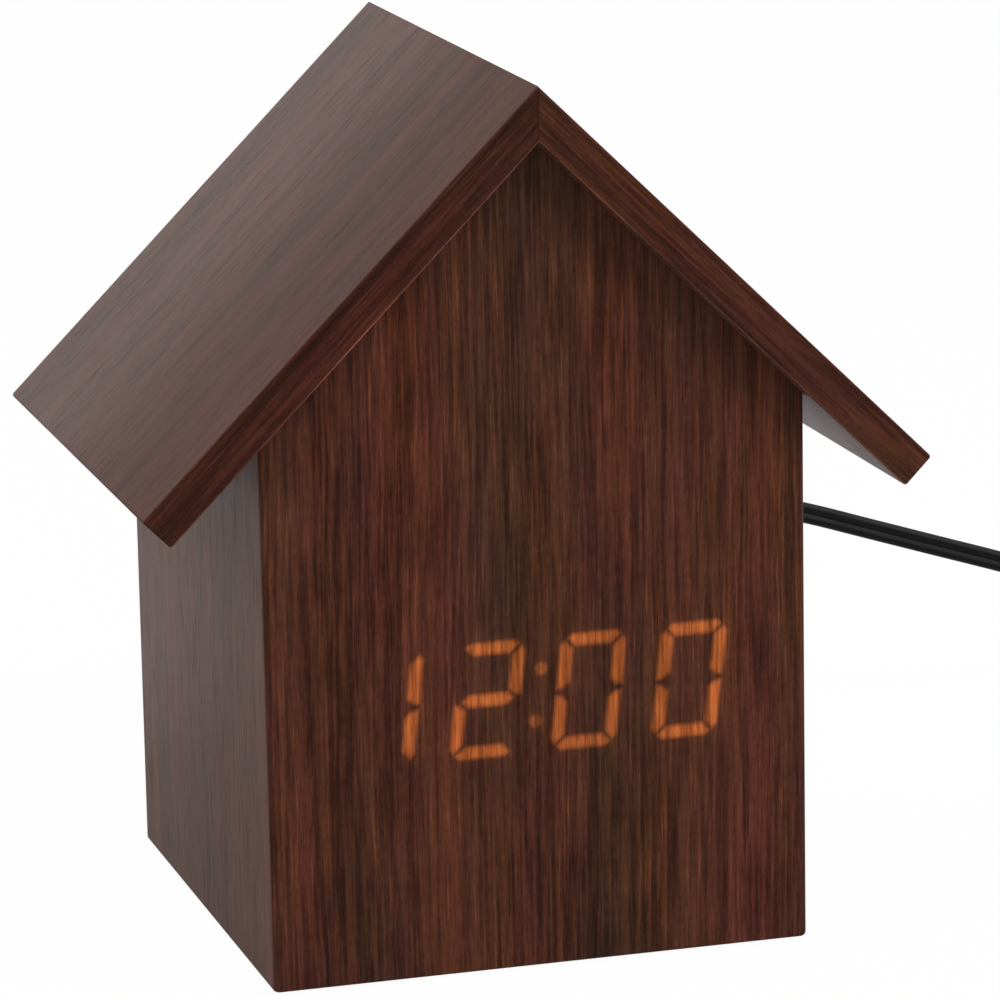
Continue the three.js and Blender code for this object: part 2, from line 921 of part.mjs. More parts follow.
// One boss is in the board's lower right corner, and one at its left, above the buzzer
function bossPlaces() {
  const reach = control_board_size / 2 - boss_edge;
  const left_z = (cell_z + buzzer_radius + button_z - flange_radius) / 2;
  return [
    [control_side + reach, control_height - reach],
    [control_side - reach, left_z],
  ];
}

function capNotches(reach, width, y0, y1, turn) {
  const bar = block(-width / 2, width / 2, y0, y1, -reach, reach);
  bar.rotateY(THREE.MathUtils.degToRad(turn));
  return bar.translate(cell_x, 0, cell_z);
}

function slideSlot(y0, y1) {
  const half_x = (slide_knob_width + slide_travel) / 2 + seat_gap;
  const half_z = slide_knob_height / 2 + seat_gap;
  return block(
    slide_x - half_x,
    slide_x + half_x,
    y0,
    y1,
    button_z - half_z,
    button_z + half_z,
  );
}

function makeControlPlate() {
  const outline = rectangle(plate_width / 2, plate_height / 2);
  const flat = alongY(roundedShape(outline, plate_corner), plate_inner_y, plate_outer_y);
  flat.translate(control_side, 0, control_height);
  const boss_y = control_board_y + seat_gap;
  const bosses = bossPlaces().map(([x, z]) =>
    rodY(x, z, boss_radius, boss_y, plate_inner_y + plate_thickness / 2),
  );
  const y0 = plate_inner_y - cut_overrun;
  const y1 = plate_outer_y + cut_overrun;
  const button_holes = button_places.map((x) =>
    rodY(x, button_z, button_radius + seat_gap, y0, y1, round_sides),
  );
  const screw_holes = plateScrewPlaces().map(([x, z]) =>
    rodY(x, z, plate_screw.shank_radius + screw_clearance, y0, y1),
  );
  const boss_holes = bossPlaces().map(([x, z]) =>
    rodY(
      x,
      z,
      board_screw.shank_radius + screw_clearance,
      boss_y - cut_overrun,
      control_board_inner_y + board_screw.shank_length,
    ),
  );
  const cap_hole = rodY(cell_x, cell_z, cap_radius + seat_gap, y0, y1, round_sides * 2);
  const notch = capNotches(
    lug_radius + cap_lug_clearance,
    cap_lug_width + cap_lug_clearance * 2,
    y0,
    y1,
    cap_turn,
  );
  const sound_holes = [
    [0, 0],
    [1, 0],
    [-1, 0],
    [0, 1],
    [0, -1],
  ].map(([a, b]) =>
    rodY(
      buzzer_x + a * sound_hole_spread,
      cell_z + b * sound_hole_spread,
      sound_hole_radius,
      y0,
      y1,
      hole_sides,
    ),
  );
  const cuts = [
    ...button_holes,
    ...screw_holes,
    ...boss_holes,
    cap_hole,
    notch,
    slideSlot(y0, y1),
    ...sound_holes,
  ];
  place("control_plate", cut(join(flat, ...bosses), ...cuts), materials.black);
  plateScrewPlaces().forEach(([x, z], i) => {
    const name = `control_plate_screw_${i + 1}`;
    place(name, screw(plate_screw, x, plate_outer_y + seat_gap, z), materials.steel);
  });
}

function makeControlBoard() {
  const half = control_board_size / 2;
  const board = block(
    control_side - half,
    control_side + half,
    control_board_inner_y,
    control_board_y,
    control_height - half,
    control_height + half,
  );
  const holes = bossPlaces().map(([x, z]) =>
    rodY(
      x,
      z,
      board_screw.shank_radius + screw_clearance,
      control_board_inner_y - cut_overrun,
      control_board_y + cut_overrun,
    ),
  );
  place("control_board", cut(board, ...holes), materials.circuit);
  bossPlaces().forEach(([x, z], i) => {
    const name = `control_board_screw_${i + 1}`;
    const head = screw(board_screw, x, control_board_inner_y - seat_gap, z, -1);
    place(name, head, materials.steel);
  });

  const buzzer_top_y = lug_bottom_y - buzzer_top_gap;
  const buzzer_profile = [
    [0, control_seat_y],
    [buzzer_radius, control_seat_y],
    [buzzer_radius, buzzer_top_y],
    [buzzer_hole_radius, buzzer_top_y],
    [buzzer_hole_radius, buzzer_top_y - buzzer_hole_depth],
    [0, buzzer_top_y - buzzer_hole_depth],
  ];
  const buzzer = turned(buzzer_profile, buzzer_x, cell_z, round_sides);
  place("buzzer", buzzer, materials.black);
}

function makeButtons() {
  const names = ["set", "up", "down"];
  const z = button_z;
  button_places.forEach((x, i) => {
    const stem_y = flange_bottom_y - button_stem_length;
    const profile = [
      [0, stem_y],
      [button_stem_radius, stem_y],
      [button_stem_radius, flange_bottom_y],
      [flange_radius, flange_bottom_y],
      [flange_radius, flange_top_y],
      [button_radius, flange_top_y],
      [button_radius, plate_outer_y + button_proud * button_shoulder_share],
      [button_radius * button_face_share, plate_outer_y + button_proud],
      [0, plate_outer_y + button_proud],
    ];
    place(`button_${names[i]}`, turned(profile, x, z, round_sides), materials.button);

    const body = block(
      x - switch_size / 2,
      x + switch_size / 2,
      control_seat_y,
      switch_top_y,
      z - switch_size / 2,
      z + switch_size / 2,
    );
    const bore = rodY(
      x,
      z,
      button_stem_radius + seat_gap,
      stem_y - button_travel - seat_gap,
      switch_top_y + cut_overrun,
    );
    place(`switch_${names[i]}`, cut(body, bore), materials.black);
  });
}

function makeSlide() {
  const x = slide_x;
  const z = button_z;
  const body = block(
    x - slide_body_width / 2,
    x + slide_body_width / 2,
    control_seat_y,
    switch_top_y,
    z - slide_body_height / 2,
    z + slide_body_height / 2,
  );
  const floor_y = control_seat_y + slide_floor;
  const groove = slideSlot(floor_y, switch_top_y + cut_overrun);
  place("slide_switch_body", cut(body, groove), materials.steel);
  const rest_x = x - slide_travel / 2;
  const knob = block(
    rest_x - slide_knob_width / 2,
    rest_x + slide_knob_width / 2,
    floor_y + seat_gap,
    plate_outer_y + button_proud,
    z - slide_knob_height / 2,
    z + slide_knob_height / 2,
  );
  place("alarm_slide_knob", knob, materials.button);
}

function makeBackupCell() {
  const bore_radius = cell_radius + seat_gap;
  const cup = [
    [0, control_seat_y],
    [holder_radius, control_seat_y],
    [holder_radius, holder_top_y],
    [bore_radius, holder_top_y],
    [bore_radius, holder_floor_y],
    [0, holder_floor_y],
  ];
  place("battery_holder", turned(cup, cell_x, cell_z, round_sides), materials.black);

  const cell_y = holder_floor_y + seat_gap;
  const can = [
    [0, cell_y],
    [cell_radius - cell_rim, cell_y],
    [cell_radius, cell_y + cell_rim],
    [cell_radius, cell_y + cell_thickness],
    [0, cell_y + cell_thickness],
  ];
  place("coin_cell", turned(can, cell_x, cell_z, round_sides), materials.steel);

  const disc = rodY(
    cell_x,
    cell_z,
    cap_radius,
    lug_bottom_y,
    plate_outer_y,
    round_sides * 2,
  );
  const lugs = capNotches(lug_radius, cap_lug_width, lug_bottom_y, flange_top_y, 0);
  const coin_slot = block(
    cell_x - coin_slot_length / 2,
    cell_x + coin_slot_length / 2,
    plate_outer_y - coin_slot_depth,
    plate_outer_y + cut_overrun,
    cell_z - coin_slot_width / 2,
    cell_z + coin_slot_width / 2,
  );
  place("battery_cap", cut(join(disc, lugs), coin_slot), materials.button);
}

// The moulded strain relief, clipped in the back panel, with a ringed tapering sleeve
function makeStrainRelief() {
  const sleeve_y = relief_flange_y + relief_flange_thickness;
  const profile = [
    [0, relief_inner_y],
    [relief_neck_radius + relief_lip, relief_inner_y],
    [relief_neck_radius + relief_lip, panel_front_y - seat_gap],
    [relief_neck_radius, panel_front_y - seat_gap],
    [relief_neck_radius, relief_flange_y],
    [relief_flange_radius, relief_flange_y],
    [relief_flange_radius, sleeve_y],
  ];
  const ring = relief_length / relief_grooves;
  const radiusAt = (share) =>
    THREE.MathUtils.lerp(relief_root_radius, relief_tip_radius, share);
  for (let i = 0; i < relief_grooves; i++) {
    const start = sleeve_y + i * ring;
    const radius = radiusAt(i / relief_grooves);
    const land = start + ring * (1 - relief_groove_share);
    profile.push([radius, start], [radius, land]);
    profile.push([radius - relief_groove_depth, land], [radius - relief_groove_depth, start + ring]);
  }
  profile.push([relief_tip_radius - relief_groove_depth, relief_tip_y], [0, relief_tip_y]);
  const unique = profile.filter(
    ([r, y], i) => i === 0 || r !== profile[i - 1][0] || y !== profile[i - 1][1],
  );
  const bush = turned(unique, relief_side, relief_height, small_sides + arc_steps);
  place("strain_relief", bush, materials.cord);
}

// Half sections of the flat twin lead, as shares of its thickness and width
const lead_section_shares = [
  [0.5, -0.3],
  [0.5, 0.3],
  [0.25, 0.5],
  [-0.25, 0.5],
  [-0.5, 0.3],
  [-0.5, -0.3],
  [-0.25, -0.5],
  [0.25, -0.5],
];
const coil_section_shares = [
  [0.5, -0.26],
  [0.5, 0.26],
  [0, 0.5],
  [-0.5, 0.26],
  [-0.5, -0.26],
  [0, -0.5],
];

function cordSection(shares) {
  return shares.map(([a, b]) => [a * cord_thickness, b * cord_width]);
}

// A smooth route along which the flat lead stands on its edge
class UprightRoute extends THREE.CatmullRomCurve3 {
  computeFrenetFrames(steps) {
    const up = new THREE.Vector3(0, 0, 1);
    const tangents = [];
    const normals = [];
    const binormals = [];
    for (let i = 0; i <= steps; i++) {
      const tangent = this.getTangentAt(i / steps, new THREE.Vector3());
      const normal = new THREE.Vector3().crossVectors(up, tangent).normalize();
      tangents.push(tangent);
      normals.push(normal);
      binormals.push(new THREE.Vector3().crossVectors(tangent, normal));
    }
    return { tangents, normals, binormals };
  }
}

function leadAlong(points, steps) {
  const extrudePath = new UprightRoute(points.map((point) => new THREE.Vector3(...point)));
  const shape = shapeOf(cordSection(lead_section_shares));
  return new THREE.ExtrudeGeometry(shape, { steps, bevelEnabled: false, extrudePath });
}

function makeLead() {
  place("cord_lead", leadAlong(lead_route, small_sides * 2), materials.cord);

  // inside the back, the lead turns round and lands on the control board
  const y0 = relief_inner_y - seat_gap;
  const landing_x = control_side + control_board_size / 2 - inner_lead_edge;
  const bend_x = (relief_side - landing_x) / 2;
  const bend_y = y0 - inner_lead_straight;
  const low_z = relief_height - inner_lead_drop;
  const inner_route = [[relief_side, y0, relief_height]];
  for (let i = 0; i <= arc_steps; i++) {
    const angle = (Math.PI * i) / arc_steps;
    inner_route.push([
      landing_x + bend_x * (1 + Math.cos(angle)),
      bend_y - inner_lead_bend * Math.sin(angle),
      THREE.MathUtils.lerp(relief_height, low_z, i / arc_steps),
    ]);
  }
  inner_route.push([landing_x, control_board_inner_y - seat_gap, low_z]);
  place("inner_lead", leadAlong(inner_route, small_sides), materials.cord);
}

// The coil spirals in on the surface, climbs a layer as it turns back, and spirals out
function coilStations() {
  const stations = [];
  const push = (turn, radius, z) => stations.push({ turn, radius, z });
  const steps_in = coil_loops_in * coil_steps;
  for (let i = 0; i <= steps_in; i++) {
    push(i, coil_outer_radius - (coil_pitch * i) / coil_steps, coil_low_z);
  }
  const steps_up = coil_steps / 2;
  for (let i = 1; i <= steps_up; i++) {
    const angle = (Math.PI * i) / steps_up;
    const radius = coil_inner_radius - coil_pitch * coil_dip_share * Math.sin(angle);
    push(steps_in + i, radius, coil_low_z + (coil_layer_rise * (1 - Math.cos(angle))) / 2);
  }
  const steps_out = coil_loops_out * coil_steps;
  for (let i = 1; i <= steps_out; i++) {
    const radius = coil_inner_radius + (coil_pitch * i) / coil_steps;
    push(steps_in + steps_up + i, radius, coil_low_z + coil_layer_rise);
  }
  return stations;
}

// The least gap between loops that pass each other at the same angle of the coil
function leastCoilGap(stations) {
  let least = Infinity;
  for (let i = 0; i < stations.length; i++) {
    for (let j = i + coil_steps; j < stations.length; j += coil_steps) {
      const across = Math.abs(stations[i].radius - stations[j].radius);
      const level = Math.abs(stations[i].z - stations[j].z);
      const gap_across = Math.max(0, across - cord_thickness) * Math.cos(Math.PI / coil_steps);
      const gap_level = Math.max(0, level - cord_width);
      least = Math.min(least, Math.hypot(gap_across, gap_level));
    }
  }
  return least;
}

function makeCoil() {
  const stations = coilStations();
  const points = stations.map(({ turn, radius, z }) => {
    const angle = (2 * Math.PI * turn) / coil_steps;
    const x = coil_x + radius * Math.cos(angle);
    return new THREE.Vector3(x, coil_y - radius * Math.sin(angle), z);
  });
  const run = new THREE.Vector3(0, cord_width, 0);
  points.unshift(points[0].clone().add(run));
  points.push(points[points.length - 1].clone().sub(run));

  const section = cordSection(coil_section_shares);
  const up = new THREE.Vector3(0, 0, 1);
  const positions = [];
  const last = points.length - 1;
  points.forEach((point, i) => {
    const before = points[Math.max(0, i - 1)];
    const after = points[Math.min(last, i + 1)];
    const tangent = after.clone().sub(before).normalize();
    const normal = new THREE.Vector3().crossVectors(up, tangent).normalize();
    const binormal = new THREE.Vector3().crossVectors(tangent, normal);
    for (const [a, b] of section) {
      const corner = point.clone().addScaledVector(normal, a).addScaledVector(binormal, b);
      positions.push(corner.x, corner.y, corner.z);
    }
  });
  const sides = section.length;
  const faces = [];
  for (let i = 0; i < last; i++) {
    for (let j = 0; j < sides; j++) {
      const a = i * sides + j;
      const b = i * sides + ((j + 1) % sides);
      faces.push(a, b, b + sides, a, b + sides, a + sides);
    }
  }
  for (let j = 1; j < sides - 1; j++) {
    faces.push(0, j + 1, j);
    faces.push(last * sides, last * sides + j, last * sides + j + 1);
  }
  const tube = new THREE.BufferGeometry();
  tube.setAttribute("position", new THREE.Float32BufferAttribute(positions, 3));
  tube.setIndex(faces);
  tube.computeVertexNormals();
  place("cord_coil", tube, materials.cord);
  console.log(`the coil's least gap to itself is ${leastCoilGap(stations).toFixed(2)} mm`);
}

// A strap round the coil's turns, at the back where no loop climbs
function makeTie() {
  const quarter = coil_pitch / 4;
  const half = cord_thickness / 2;
  const inner_turn = (coil_inner_radius + quarter - half) * Math.cos(Math.PI / coil_steps);
  const inner = Math.sqrt(inner_turn ** 2 - (tie_width / 2) ** 2) - seat_gap;
  const outer = coil_outer_radius - quarter * 3 + half + seat_gap;
  const low = tie_thickness;
  const high = coil_base_z + coil_layer_rise + cord_width + seat_gap;
  const frameOutline = (grow) => [
    [coil_y + inner - grow, low - grow],
    [coil_y + outer + grow, low - grow],
    [coil_y + outer + grow, high + grow],
    [coil_y + inner - grow, high + grow],
  ];
  const strap = roundedShape(frameOutline(tie_thickness), tie_corner);
  strap.holes.push(roundedShape(frameOutline(0), tie_corner - tie_thickness));
  const band = alongX(strap, coil_x - tie_width / 2, coil_x + tie_width / 2);
  place("cord_tie", band, materials.black);
}

// The adapter lies in front of the coil with its lead towards it and its pins away from it
function makeAdapter() {
  const x = coil_x + coil_end_radius;
  const z = adapter_depth / 2;
  const tail_z = coil_low_z + coil_layer_rise;
  const tail_y = coil_y - cord_width - seat_gap;
  const relief_y = tail_y - tail_length - seat_gap;
  const case_y = relief_y - adapter_relief_length;
  const end_y = case_y - adapter_length;
  const tail_shares = [
    [0, 0],
    [0.2, 0],
    [0.5, 0.5],
    [0.8, 1],
    [1, 1],
  ];
  const tail = tail_shares.map(([along, up]) => [
    x,
    tail_y - along * tail_length,
    THREE.MathUtils.lerp(tail_z, z, up),
  ]);
  place("cord_tail", leadAlong(tail, arc_steps * 2), materials.cord);

  const cone = [
    [0, case_y + seat_gap],
    [adapter_relief_radius, case_y + seat_gap],
    [cord_width / 2 + seat_gap, relief_y],
    [0, relief_y],
  ];
  place("adapter_strain_relief", turned(cone, x, z), materials.cord);

  const outline = rectangle(adapter_width / 2, adapter_depth / 2);
  const shell = alongY(roundedShape(outline, adapter_corner), end_y, case_y);
  shell.translate(x, 0, z);
  const nose_outline = rectangle(nose_width / 2, nose_depth / 2);
  const nose_shape = roundedShape(nose_outline, nose_depth * nose_round_share);
  const nose = alongY(nose_shape, end_y - nose_length, end_y + cut_overrun);
  nose.translate(x, 0, z);
  const nose_y = end_y - nose_length;
  const pin_places = [-pin_spacing / 2, pin_spacing / 2].map((side) => x + side);
  const sockets = pin_places.map((pin_x) =>
    rodY(
      pin_x,
      z,
      pin_radius + screw_clearance,
      nose_y - cut_overrun,
      nose_y + pin_seat,
    ),
  );
  place("adapter_case", cut(join(shell, nose), ...sockets), materials.black);
  pin_places.forEach((pin_x, i) => {
    const tip_y = nose_y - pin_length;
    const pin = [
      [0, tip_y],
      [pin_radius - pin_tip, tip_y],
      [pin_radius, tip_y + pin_tip],
      [pin_radius, nose_y + pin_seat - seat_gap],
      [0, nose_y + pin_seat - seat_gap],
    ];
    place(`adapter_pin_${i + 1}`, turned(pin, pin_x, z), materials.brass);
  });
}

makeShell();
makeFeet();
makeRoof();
makeBackPanel();
makeDisplay();
makeMainBoard();
makeRibbon();
makeControlPlate();
makeControlBoard();
makeButtons();
makeSlide();
makeBackupCell();
makeStrainRelief();
makeLead();
makeCoil();
makeTie();
makeAdapter();

export default clock;
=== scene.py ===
"""A house-shaped wooden alarm clock, dressed around its CAD frame.

Every piece is made by an operator that the panel in the 3D view's sidebar lists. X is to
the right seen from the front, Y points to the back, +Z is up, and the origin is under the
middle of the house, on the surface that it stands on. Shapes are drawn in mm and scaled to
metres as they become pieces. The camera, the stage and the materials' places are in metres.
"""

import math
from types import SimpleNamespace

import bmesh
import bpy
from mathutils import Matrix, Vector


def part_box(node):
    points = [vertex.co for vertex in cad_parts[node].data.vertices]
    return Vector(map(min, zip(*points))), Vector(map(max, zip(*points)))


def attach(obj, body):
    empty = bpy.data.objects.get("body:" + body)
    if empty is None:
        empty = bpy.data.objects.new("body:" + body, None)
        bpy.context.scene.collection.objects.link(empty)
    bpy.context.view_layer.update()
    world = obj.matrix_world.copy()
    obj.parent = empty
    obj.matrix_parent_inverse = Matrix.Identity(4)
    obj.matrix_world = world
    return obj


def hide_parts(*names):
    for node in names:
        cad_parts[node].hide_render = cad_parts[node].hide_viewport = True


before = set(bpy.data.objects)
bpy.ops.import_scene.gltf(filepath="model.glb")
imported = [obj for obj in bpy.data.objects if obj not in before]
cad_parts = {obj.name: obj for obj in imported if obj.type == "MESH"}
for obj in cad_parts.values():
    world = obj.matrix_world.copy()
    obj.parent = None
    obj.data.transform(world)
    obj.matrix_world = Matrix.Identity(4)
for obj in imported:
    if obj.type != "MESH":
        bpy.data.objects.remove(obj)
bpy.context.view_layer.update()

bl_info = {
    "name": "House Alarm Clock",
    "version": (1, 0, 0),
    "blender": (4, 5, 0),
    "location": "3D View > Sidebar > House Clock",
    "description": "Builds a house-shaped wooden alarm clock with its lead and adapter",
    "category": "Add Mesh",
}

MM = 0.001

# Tolerances in mm: for points that are one, for a plane's cut, and for places compared
SAME_POINT = 1e-4
ON_PLANE = 1e-5
NEAR = 1e-3

# The glue gap that the CAD model leaves under the roof, in mm
GLUE_GAP = 0.3


# Places read from the frame


def low(node):
    """Lowest corner of a CAD node, in mm."""
    return Vector(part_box(node)[0]) / MM


def high(node):
    """Highest corner of a CAD node, in mm."""
    return Vector(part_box(node)[1]) / MM


def middle(node):
    """Middle of a CAD node, in mm."""
    return (low(node) + high(node)) / 2


# Settings that a user would change


def length(name, default, description):
    """A length whose default is given in mm."""
    return bpy.props.FloatProperty(
        name=name, description=description, unit="LENGTH", default=default * MM, precision=5,
    )


def angle(name, default, description):
    """An angle whose default is given in degrees."""
    return bpy.props.FloatProperty(
        name=name, description=description, subtype="ANGLE", default=math.radians(default),
    )


def color(name, default, description):
    """A colour whose default is given without its alpha."""
    return bpy.props.FloatVectorProperty(
        name=name, description=description, subtype="COLOR", size=4, default=(*default, 1),
    )


class CameraSettings(bpy.types.PropertyGroup):
    location: bpy.props.FloatVectorProperty(
        name="Location", description="Where the camera stands", subtype="TRANSLATION",
        default=(-0.256918, -0.915185, 0.294135), precision=6,
    )
    turn: angle("Turn", 16.1232, "Turn to the right of straight ahead")
    tilt: angle("Tilt", 13.1822, "Tilt below the horizon")
    roll: angle("Roll", -1.0743, "Roll about the line of view")
    lens: bpy.props.FloatProperty(
        name="Lens", description="Focal length on a 36 mm sensor", subtype="DISTANCE_CAMERA",
        default=199.87,
    )


class WoodSettings(bpy.types.PropertyGroup):
    light: color("Light grain", (0.112, 0.0386, 0.0198), "Colour of the light bands")
    dark: color("Dark grain", (0.030, 0.0093, 0.0046), "Colour of the dark bands")
    red: color("Red bands", (1.17, 0.99, 1.03), "Tint of the reddish bands")
    olive: color("Olive bands", (0.83, 0.96, 0.96), "Tint of the olive bands")
    gold: color("Golden bands", (1.09, 1.10, 0.90), "Tint of the golden bands")
    violet: color("Violet bands", (0.94, 0.91, 1.13), "Tint of the violet bands")
    pore: color("Pores", (0.0100, 0.0034, 0.0020), "Colour of the open pores")
    # Painted shade: the front sheet is made lighter at its foot and darker at its top
    fade: bpy.props.FloatVectorProperty(
        name="Fade", description="Brightness of the front sheet at its foot and at its top",
        size=2, default=(1.06, 0.90),
    )
    upright_radius: length("Upright edge radius", 1.2, "Rounding of the body's upright edges")
    base_radius: length("Base edge radius", 0.8, "Rounding of the body's lower edges")
    roof_pitch: angle("Roof pitch", 44.6, "Slope of the roof boards")
    roof_thickness: length("Roof thickness", 6.7, "Thickness of the roof boards")
    roof_length: length("Roof slope length", 96.3, "Length of a roof board down its slope")
    eave_radius: length("Eave radius", 0.55, "Rounding of the eaves")
    board_edge: length("Board edge", 0.35, "Bevel on the roof boards' other edges")


class DisplaySettings(bpy.types.PropertyGroup):
    hours: bpy.props.IntProperty(
        name="Hours", description="Hours that the display shows", default=12, min=0, max=23,
    )
    minutes: bpy.props.IntProperty(
        name="Minutes", description="Minutes that the display shows", default=0, min=0, max=59,
    )
    height: length("Display height", middle("display_housing").z, "Height of the digits' middle")
    shift: length("Display shift", -0.3, "How far the digits sit to the right of the middle")
    spread: bpy.props.FloatProperty(
        name="Digit spread", description="Distance between digits, as a share of the wells'",
        default=1.01,
    )
    turn: angle("Display turn", 0.5, "Turn of the display in its window")
    digit_height: length("Digit height", 20.05, "Height of a digit")
    digit_width: length("Digit width", 11.65, "Width of a digit")
    slant: angle("Slant", 7.3, "Lean of the digits")
    segment: length("Segment width", 2.2, "Width of a lit segment")
    gap: length("Segment gap", 0.55, "Gap between segments at a mitre")
    middle_gap: length("Middle gap", 1.15, "Gap between upper and lower segments")
    dot_radius: length("Dot radius", 1.2, "Radius of the colon's dots")
    dot_spacing: length("Dot spacing", 9, "Distance between the colon's dots")
    rounding: length("Rounding", 0.35, "How far the corners of a segment are rounded")
    softness: length("Softness", 0.5, "How far the veneer spreads a segment's edge")
    glow: color("Glow", (0.46, 0.107, 0.0175), "Colour of the light through the veneer")


class LeadSettings(bpy.types.PropertyGroup):
    width: length("Lead width", 4.1, "Width of the flat twin lead")
    thickness: length("Lead thickness", 2.1, "Thickness of the flat twin lead")
    waist: length("Waist", 1.15, "Thickness of the web between the two strands")
    length: length("Lead length", 1500, "Length from the sleeve to the adapter")
    ring_step: length("Ring step", 2.4, "Distance between the tube's rings")
    coil_radius: length("Coil radius", 31, "Radius of the coil's outer turn")
    coil_pitch: length("Coil pitch", 2.8, "Distance from one turn to the next")
    coil_rise: length("Layer rise", 5, "Height of the coil's upper layer over the lower")


class FittingSettings(bpy.types.PropertyGroup):
    plastic: color("Plastic", (0.0105, 0.0105, 0.011), "Colour of the black moulded plastic")
    plate_corner: length("Plate corner", 2.5, "Corner radius of the control plate")
    soft_edge: length("Moulded edge", 0.3, "Rounding of moulded edges")
    button_dish: length("Button dish", 0.25, "Depth of the hollow in a button's face")
    recess_depth: length("Recess depth", 0.9, "Depth of the screws' cross recess")
    adapter_corner: length("Adapter corner", 5, "Corner radius of the adapter's case")
    adapter_edge: length("Adapter edge", 1.4, "Rounding of the adapter's end edges")
    seam_depth: length("Seam depth", 0.3, "Depth of the groove where the case's halves meet")


class StageSettings(bpy.types.PropertyGroup):
    floor_size: length("Floor size", 8000, "Width of the floor")
    key_power: bpy.props.FloatProperty(
        name="Key power", description="Power of the main lamp", unit="POWER", default=30,
    )
    left_power: bpy.props.FloatProperty(
        name="Left power", description="Power of the lamp on the left", unit="POWER",
        default=9.5,
    )
    lamp_size: length("Lamp size", 1000, "Width of a lamp")
    fill: bpy.props.FloatProperty(
        name="Fill", description="Strength of the light from all around", default=0.24,
    )


class ClockSettings(bpy.types.PropertyGroup):
    camera: bpy.props.PointerProperty(type=CameraSettings)
    wood: bpy.props.PointerProperty(type=WoodSettings)
    display: bpy.props.PointerProperty(type=DisplaySettings)
    lead: bpy.props.PointerProperty(type=LeadSettings)
    fittings: bpy.props.PointerProperty(type=FittingSettings)
    stage: bpy.props.PointerProperty(type=StageSettings)


def settings(group):
    """The settings of a group as Blender holds them, in metres."""
    return getattr(bpy.context.scene.house_clock, group)


def in_mm(group):
    """The settings of a group, with each length in mm."""
    values = settings(group)
    found = {}
    for name in values.__annotations__:
        value = getattr(values, name)
        is_length = values.bl_rna.properties[name].unit == "LENGTH"
        found[name] = value / MM if is_length else value
    return SimpleNamespace(**found)


# Outlines and routes


def rounded(corners, steps=5, closed=True):
    """Points of an outline of (a, b) and (a, b, radius) corners, each radius an arc."""
    corners = [(*corner, 0)[:3] for corner in corners]
    count = len(corners)
    points = []
    for i, (a, b, radius) in enumerate(corners):
        if radius <= 0 or (not closed and i in (0, count - 1)):
            points.append((a, b))
            continue
        here = Vector((a, b))
        before = (Vector(corners[i - 1][:2]) - here).normalized()
        after = (Vector(corners[(i + 1) % count][:2]) - here).normalized()
        half = before.angle(after) / 2
        reach = radius / math.tan(half)
        centre = here + (before + after).normalized() * (radius / math.sin(half))
        first = here + before * reach - centre
        sweep = first.angle_signed(here + after * reach - centre)
        for step in range(steps + 1):
            turn = Matrix.Rotation(-sweep * step / steps, 2)
            points.append(tuple(centre + turn @ first))
    return points


def rectangle(centre_a, centre_b, half_a, half_b, radius=0.0, steps=5):
    """Points of a rectangle with rounded corners."""
    corners = [
        (centre_a + a * half_a, centre_b + b * half_b, radius)
        for a, b in ((-1, -1), (1, -1), (1, 1), (-1, 1))
    ]
    return rounded(corners, steps)


def circle(centre_a, centre_b, radius, steps=40):
    """Points of a circle."""
    turns = [2 * math.pi * i / steps for i in range(steps)]
    return [(centre_a + radius * math.cos(t), centre_b + radius * math.sin(t)) for t in turns]


def smooth_route(points, steps=14):
    """Points along a centripetal Catmull-Rom curve that passes through the given ones."""
    points = [Vector(point) for point in points]
    ends = [2 * points[0] - points[1], *points, 2 * points[-1] - points[-2]]
    route = []
    for p0, p1, p2, p3 in zip(ends, ends[1:], ends[2:], ends[3:]):
        t1 = math.sqrt((p1 - p0).length)
        t2 = t1 + math.sqrt((p2 - p1).length)
        t3 = t2 + math.sqrt((p3 - p2).length)
        for step in range(steps):
            share = step / steps
            t = t1 + (t2 - t1) * share
            a1 = p0.lerp(p1, t / t1)
            a2 = p1.lerp(p2, share)
            a3 = p2.lerp(p3, (t - t2) / (t3 - t2))
            b1 = a1.lerp(a2, t / t2)
            b2 = a2.lerp(a3, (t - t1) / (t3 - t1))
            route.append(b1.lerp(b2, share))
    route.append(points[-1].copy())
    return route


def evenly(route, step):
    """The same route, as points about a step apart."""
    total = sum((b - a).length for a, b in zip(route, route[1:]))
    count = max(2, round(total / step))
    spaced = [route[0].copy()]
    walked = 0.0
    target = total / count
    for a, b in zip(route, route[1:]):
        span = (b - a).length
        while span > 0 and walked + span >= target - 1e-6 and len(spaced) < count:
            spaced.append(a.lerp(b, (target - walked) / span))
            target += total / count
        walked += span
    spaced.append(route[-1].copy())
    return spaced


# Solids


def block(low_corner, high_corner):
    """A box between two corners."""
    size = Vector(high_corner) - Vector(low_corner)
    centre = (Vector(high_corner) + Vector(low_corner)) / 2
    matrix = Matrix.Translation(centre) @ Matrix.Diagonal((*size, 1))
    bm = bmesh.new()
    bmesh.ops.create_cube(bm, size=1, matrix=matrix)
    return bm


def bevel(bm, edges, width, segments=2):
    bmesh.ops.bevel(
        bm, geom=list(edges), offset=width, offset_type="OFFSET", segments=segments,
        profile=0.5, affect="EDGES", clamp_overlap=True, material=-1,
    )


def sharp_edges(bm, degrees=60):
    """Edges where two faces meet at more than an angle."""
    limit = math.radians(degrees)
    return [e for e in bm.edges if e.is_manifold and e.calc_face_angle(0) > limit]


def split(bm, point, normal, clear=False):
    """Cuts a shape's faces along a plane, and may remove what lies beyond it."""
    geom = bm.verts[:] + bm.edges[:] + bm.faces[:]
    return bmesh.ops.bisect_plane(
        bm, geom=geom, dist=ON_PLANE, plane_co=point, plane_no=normal, clear_outer=clear,
    )["geom_cut"]


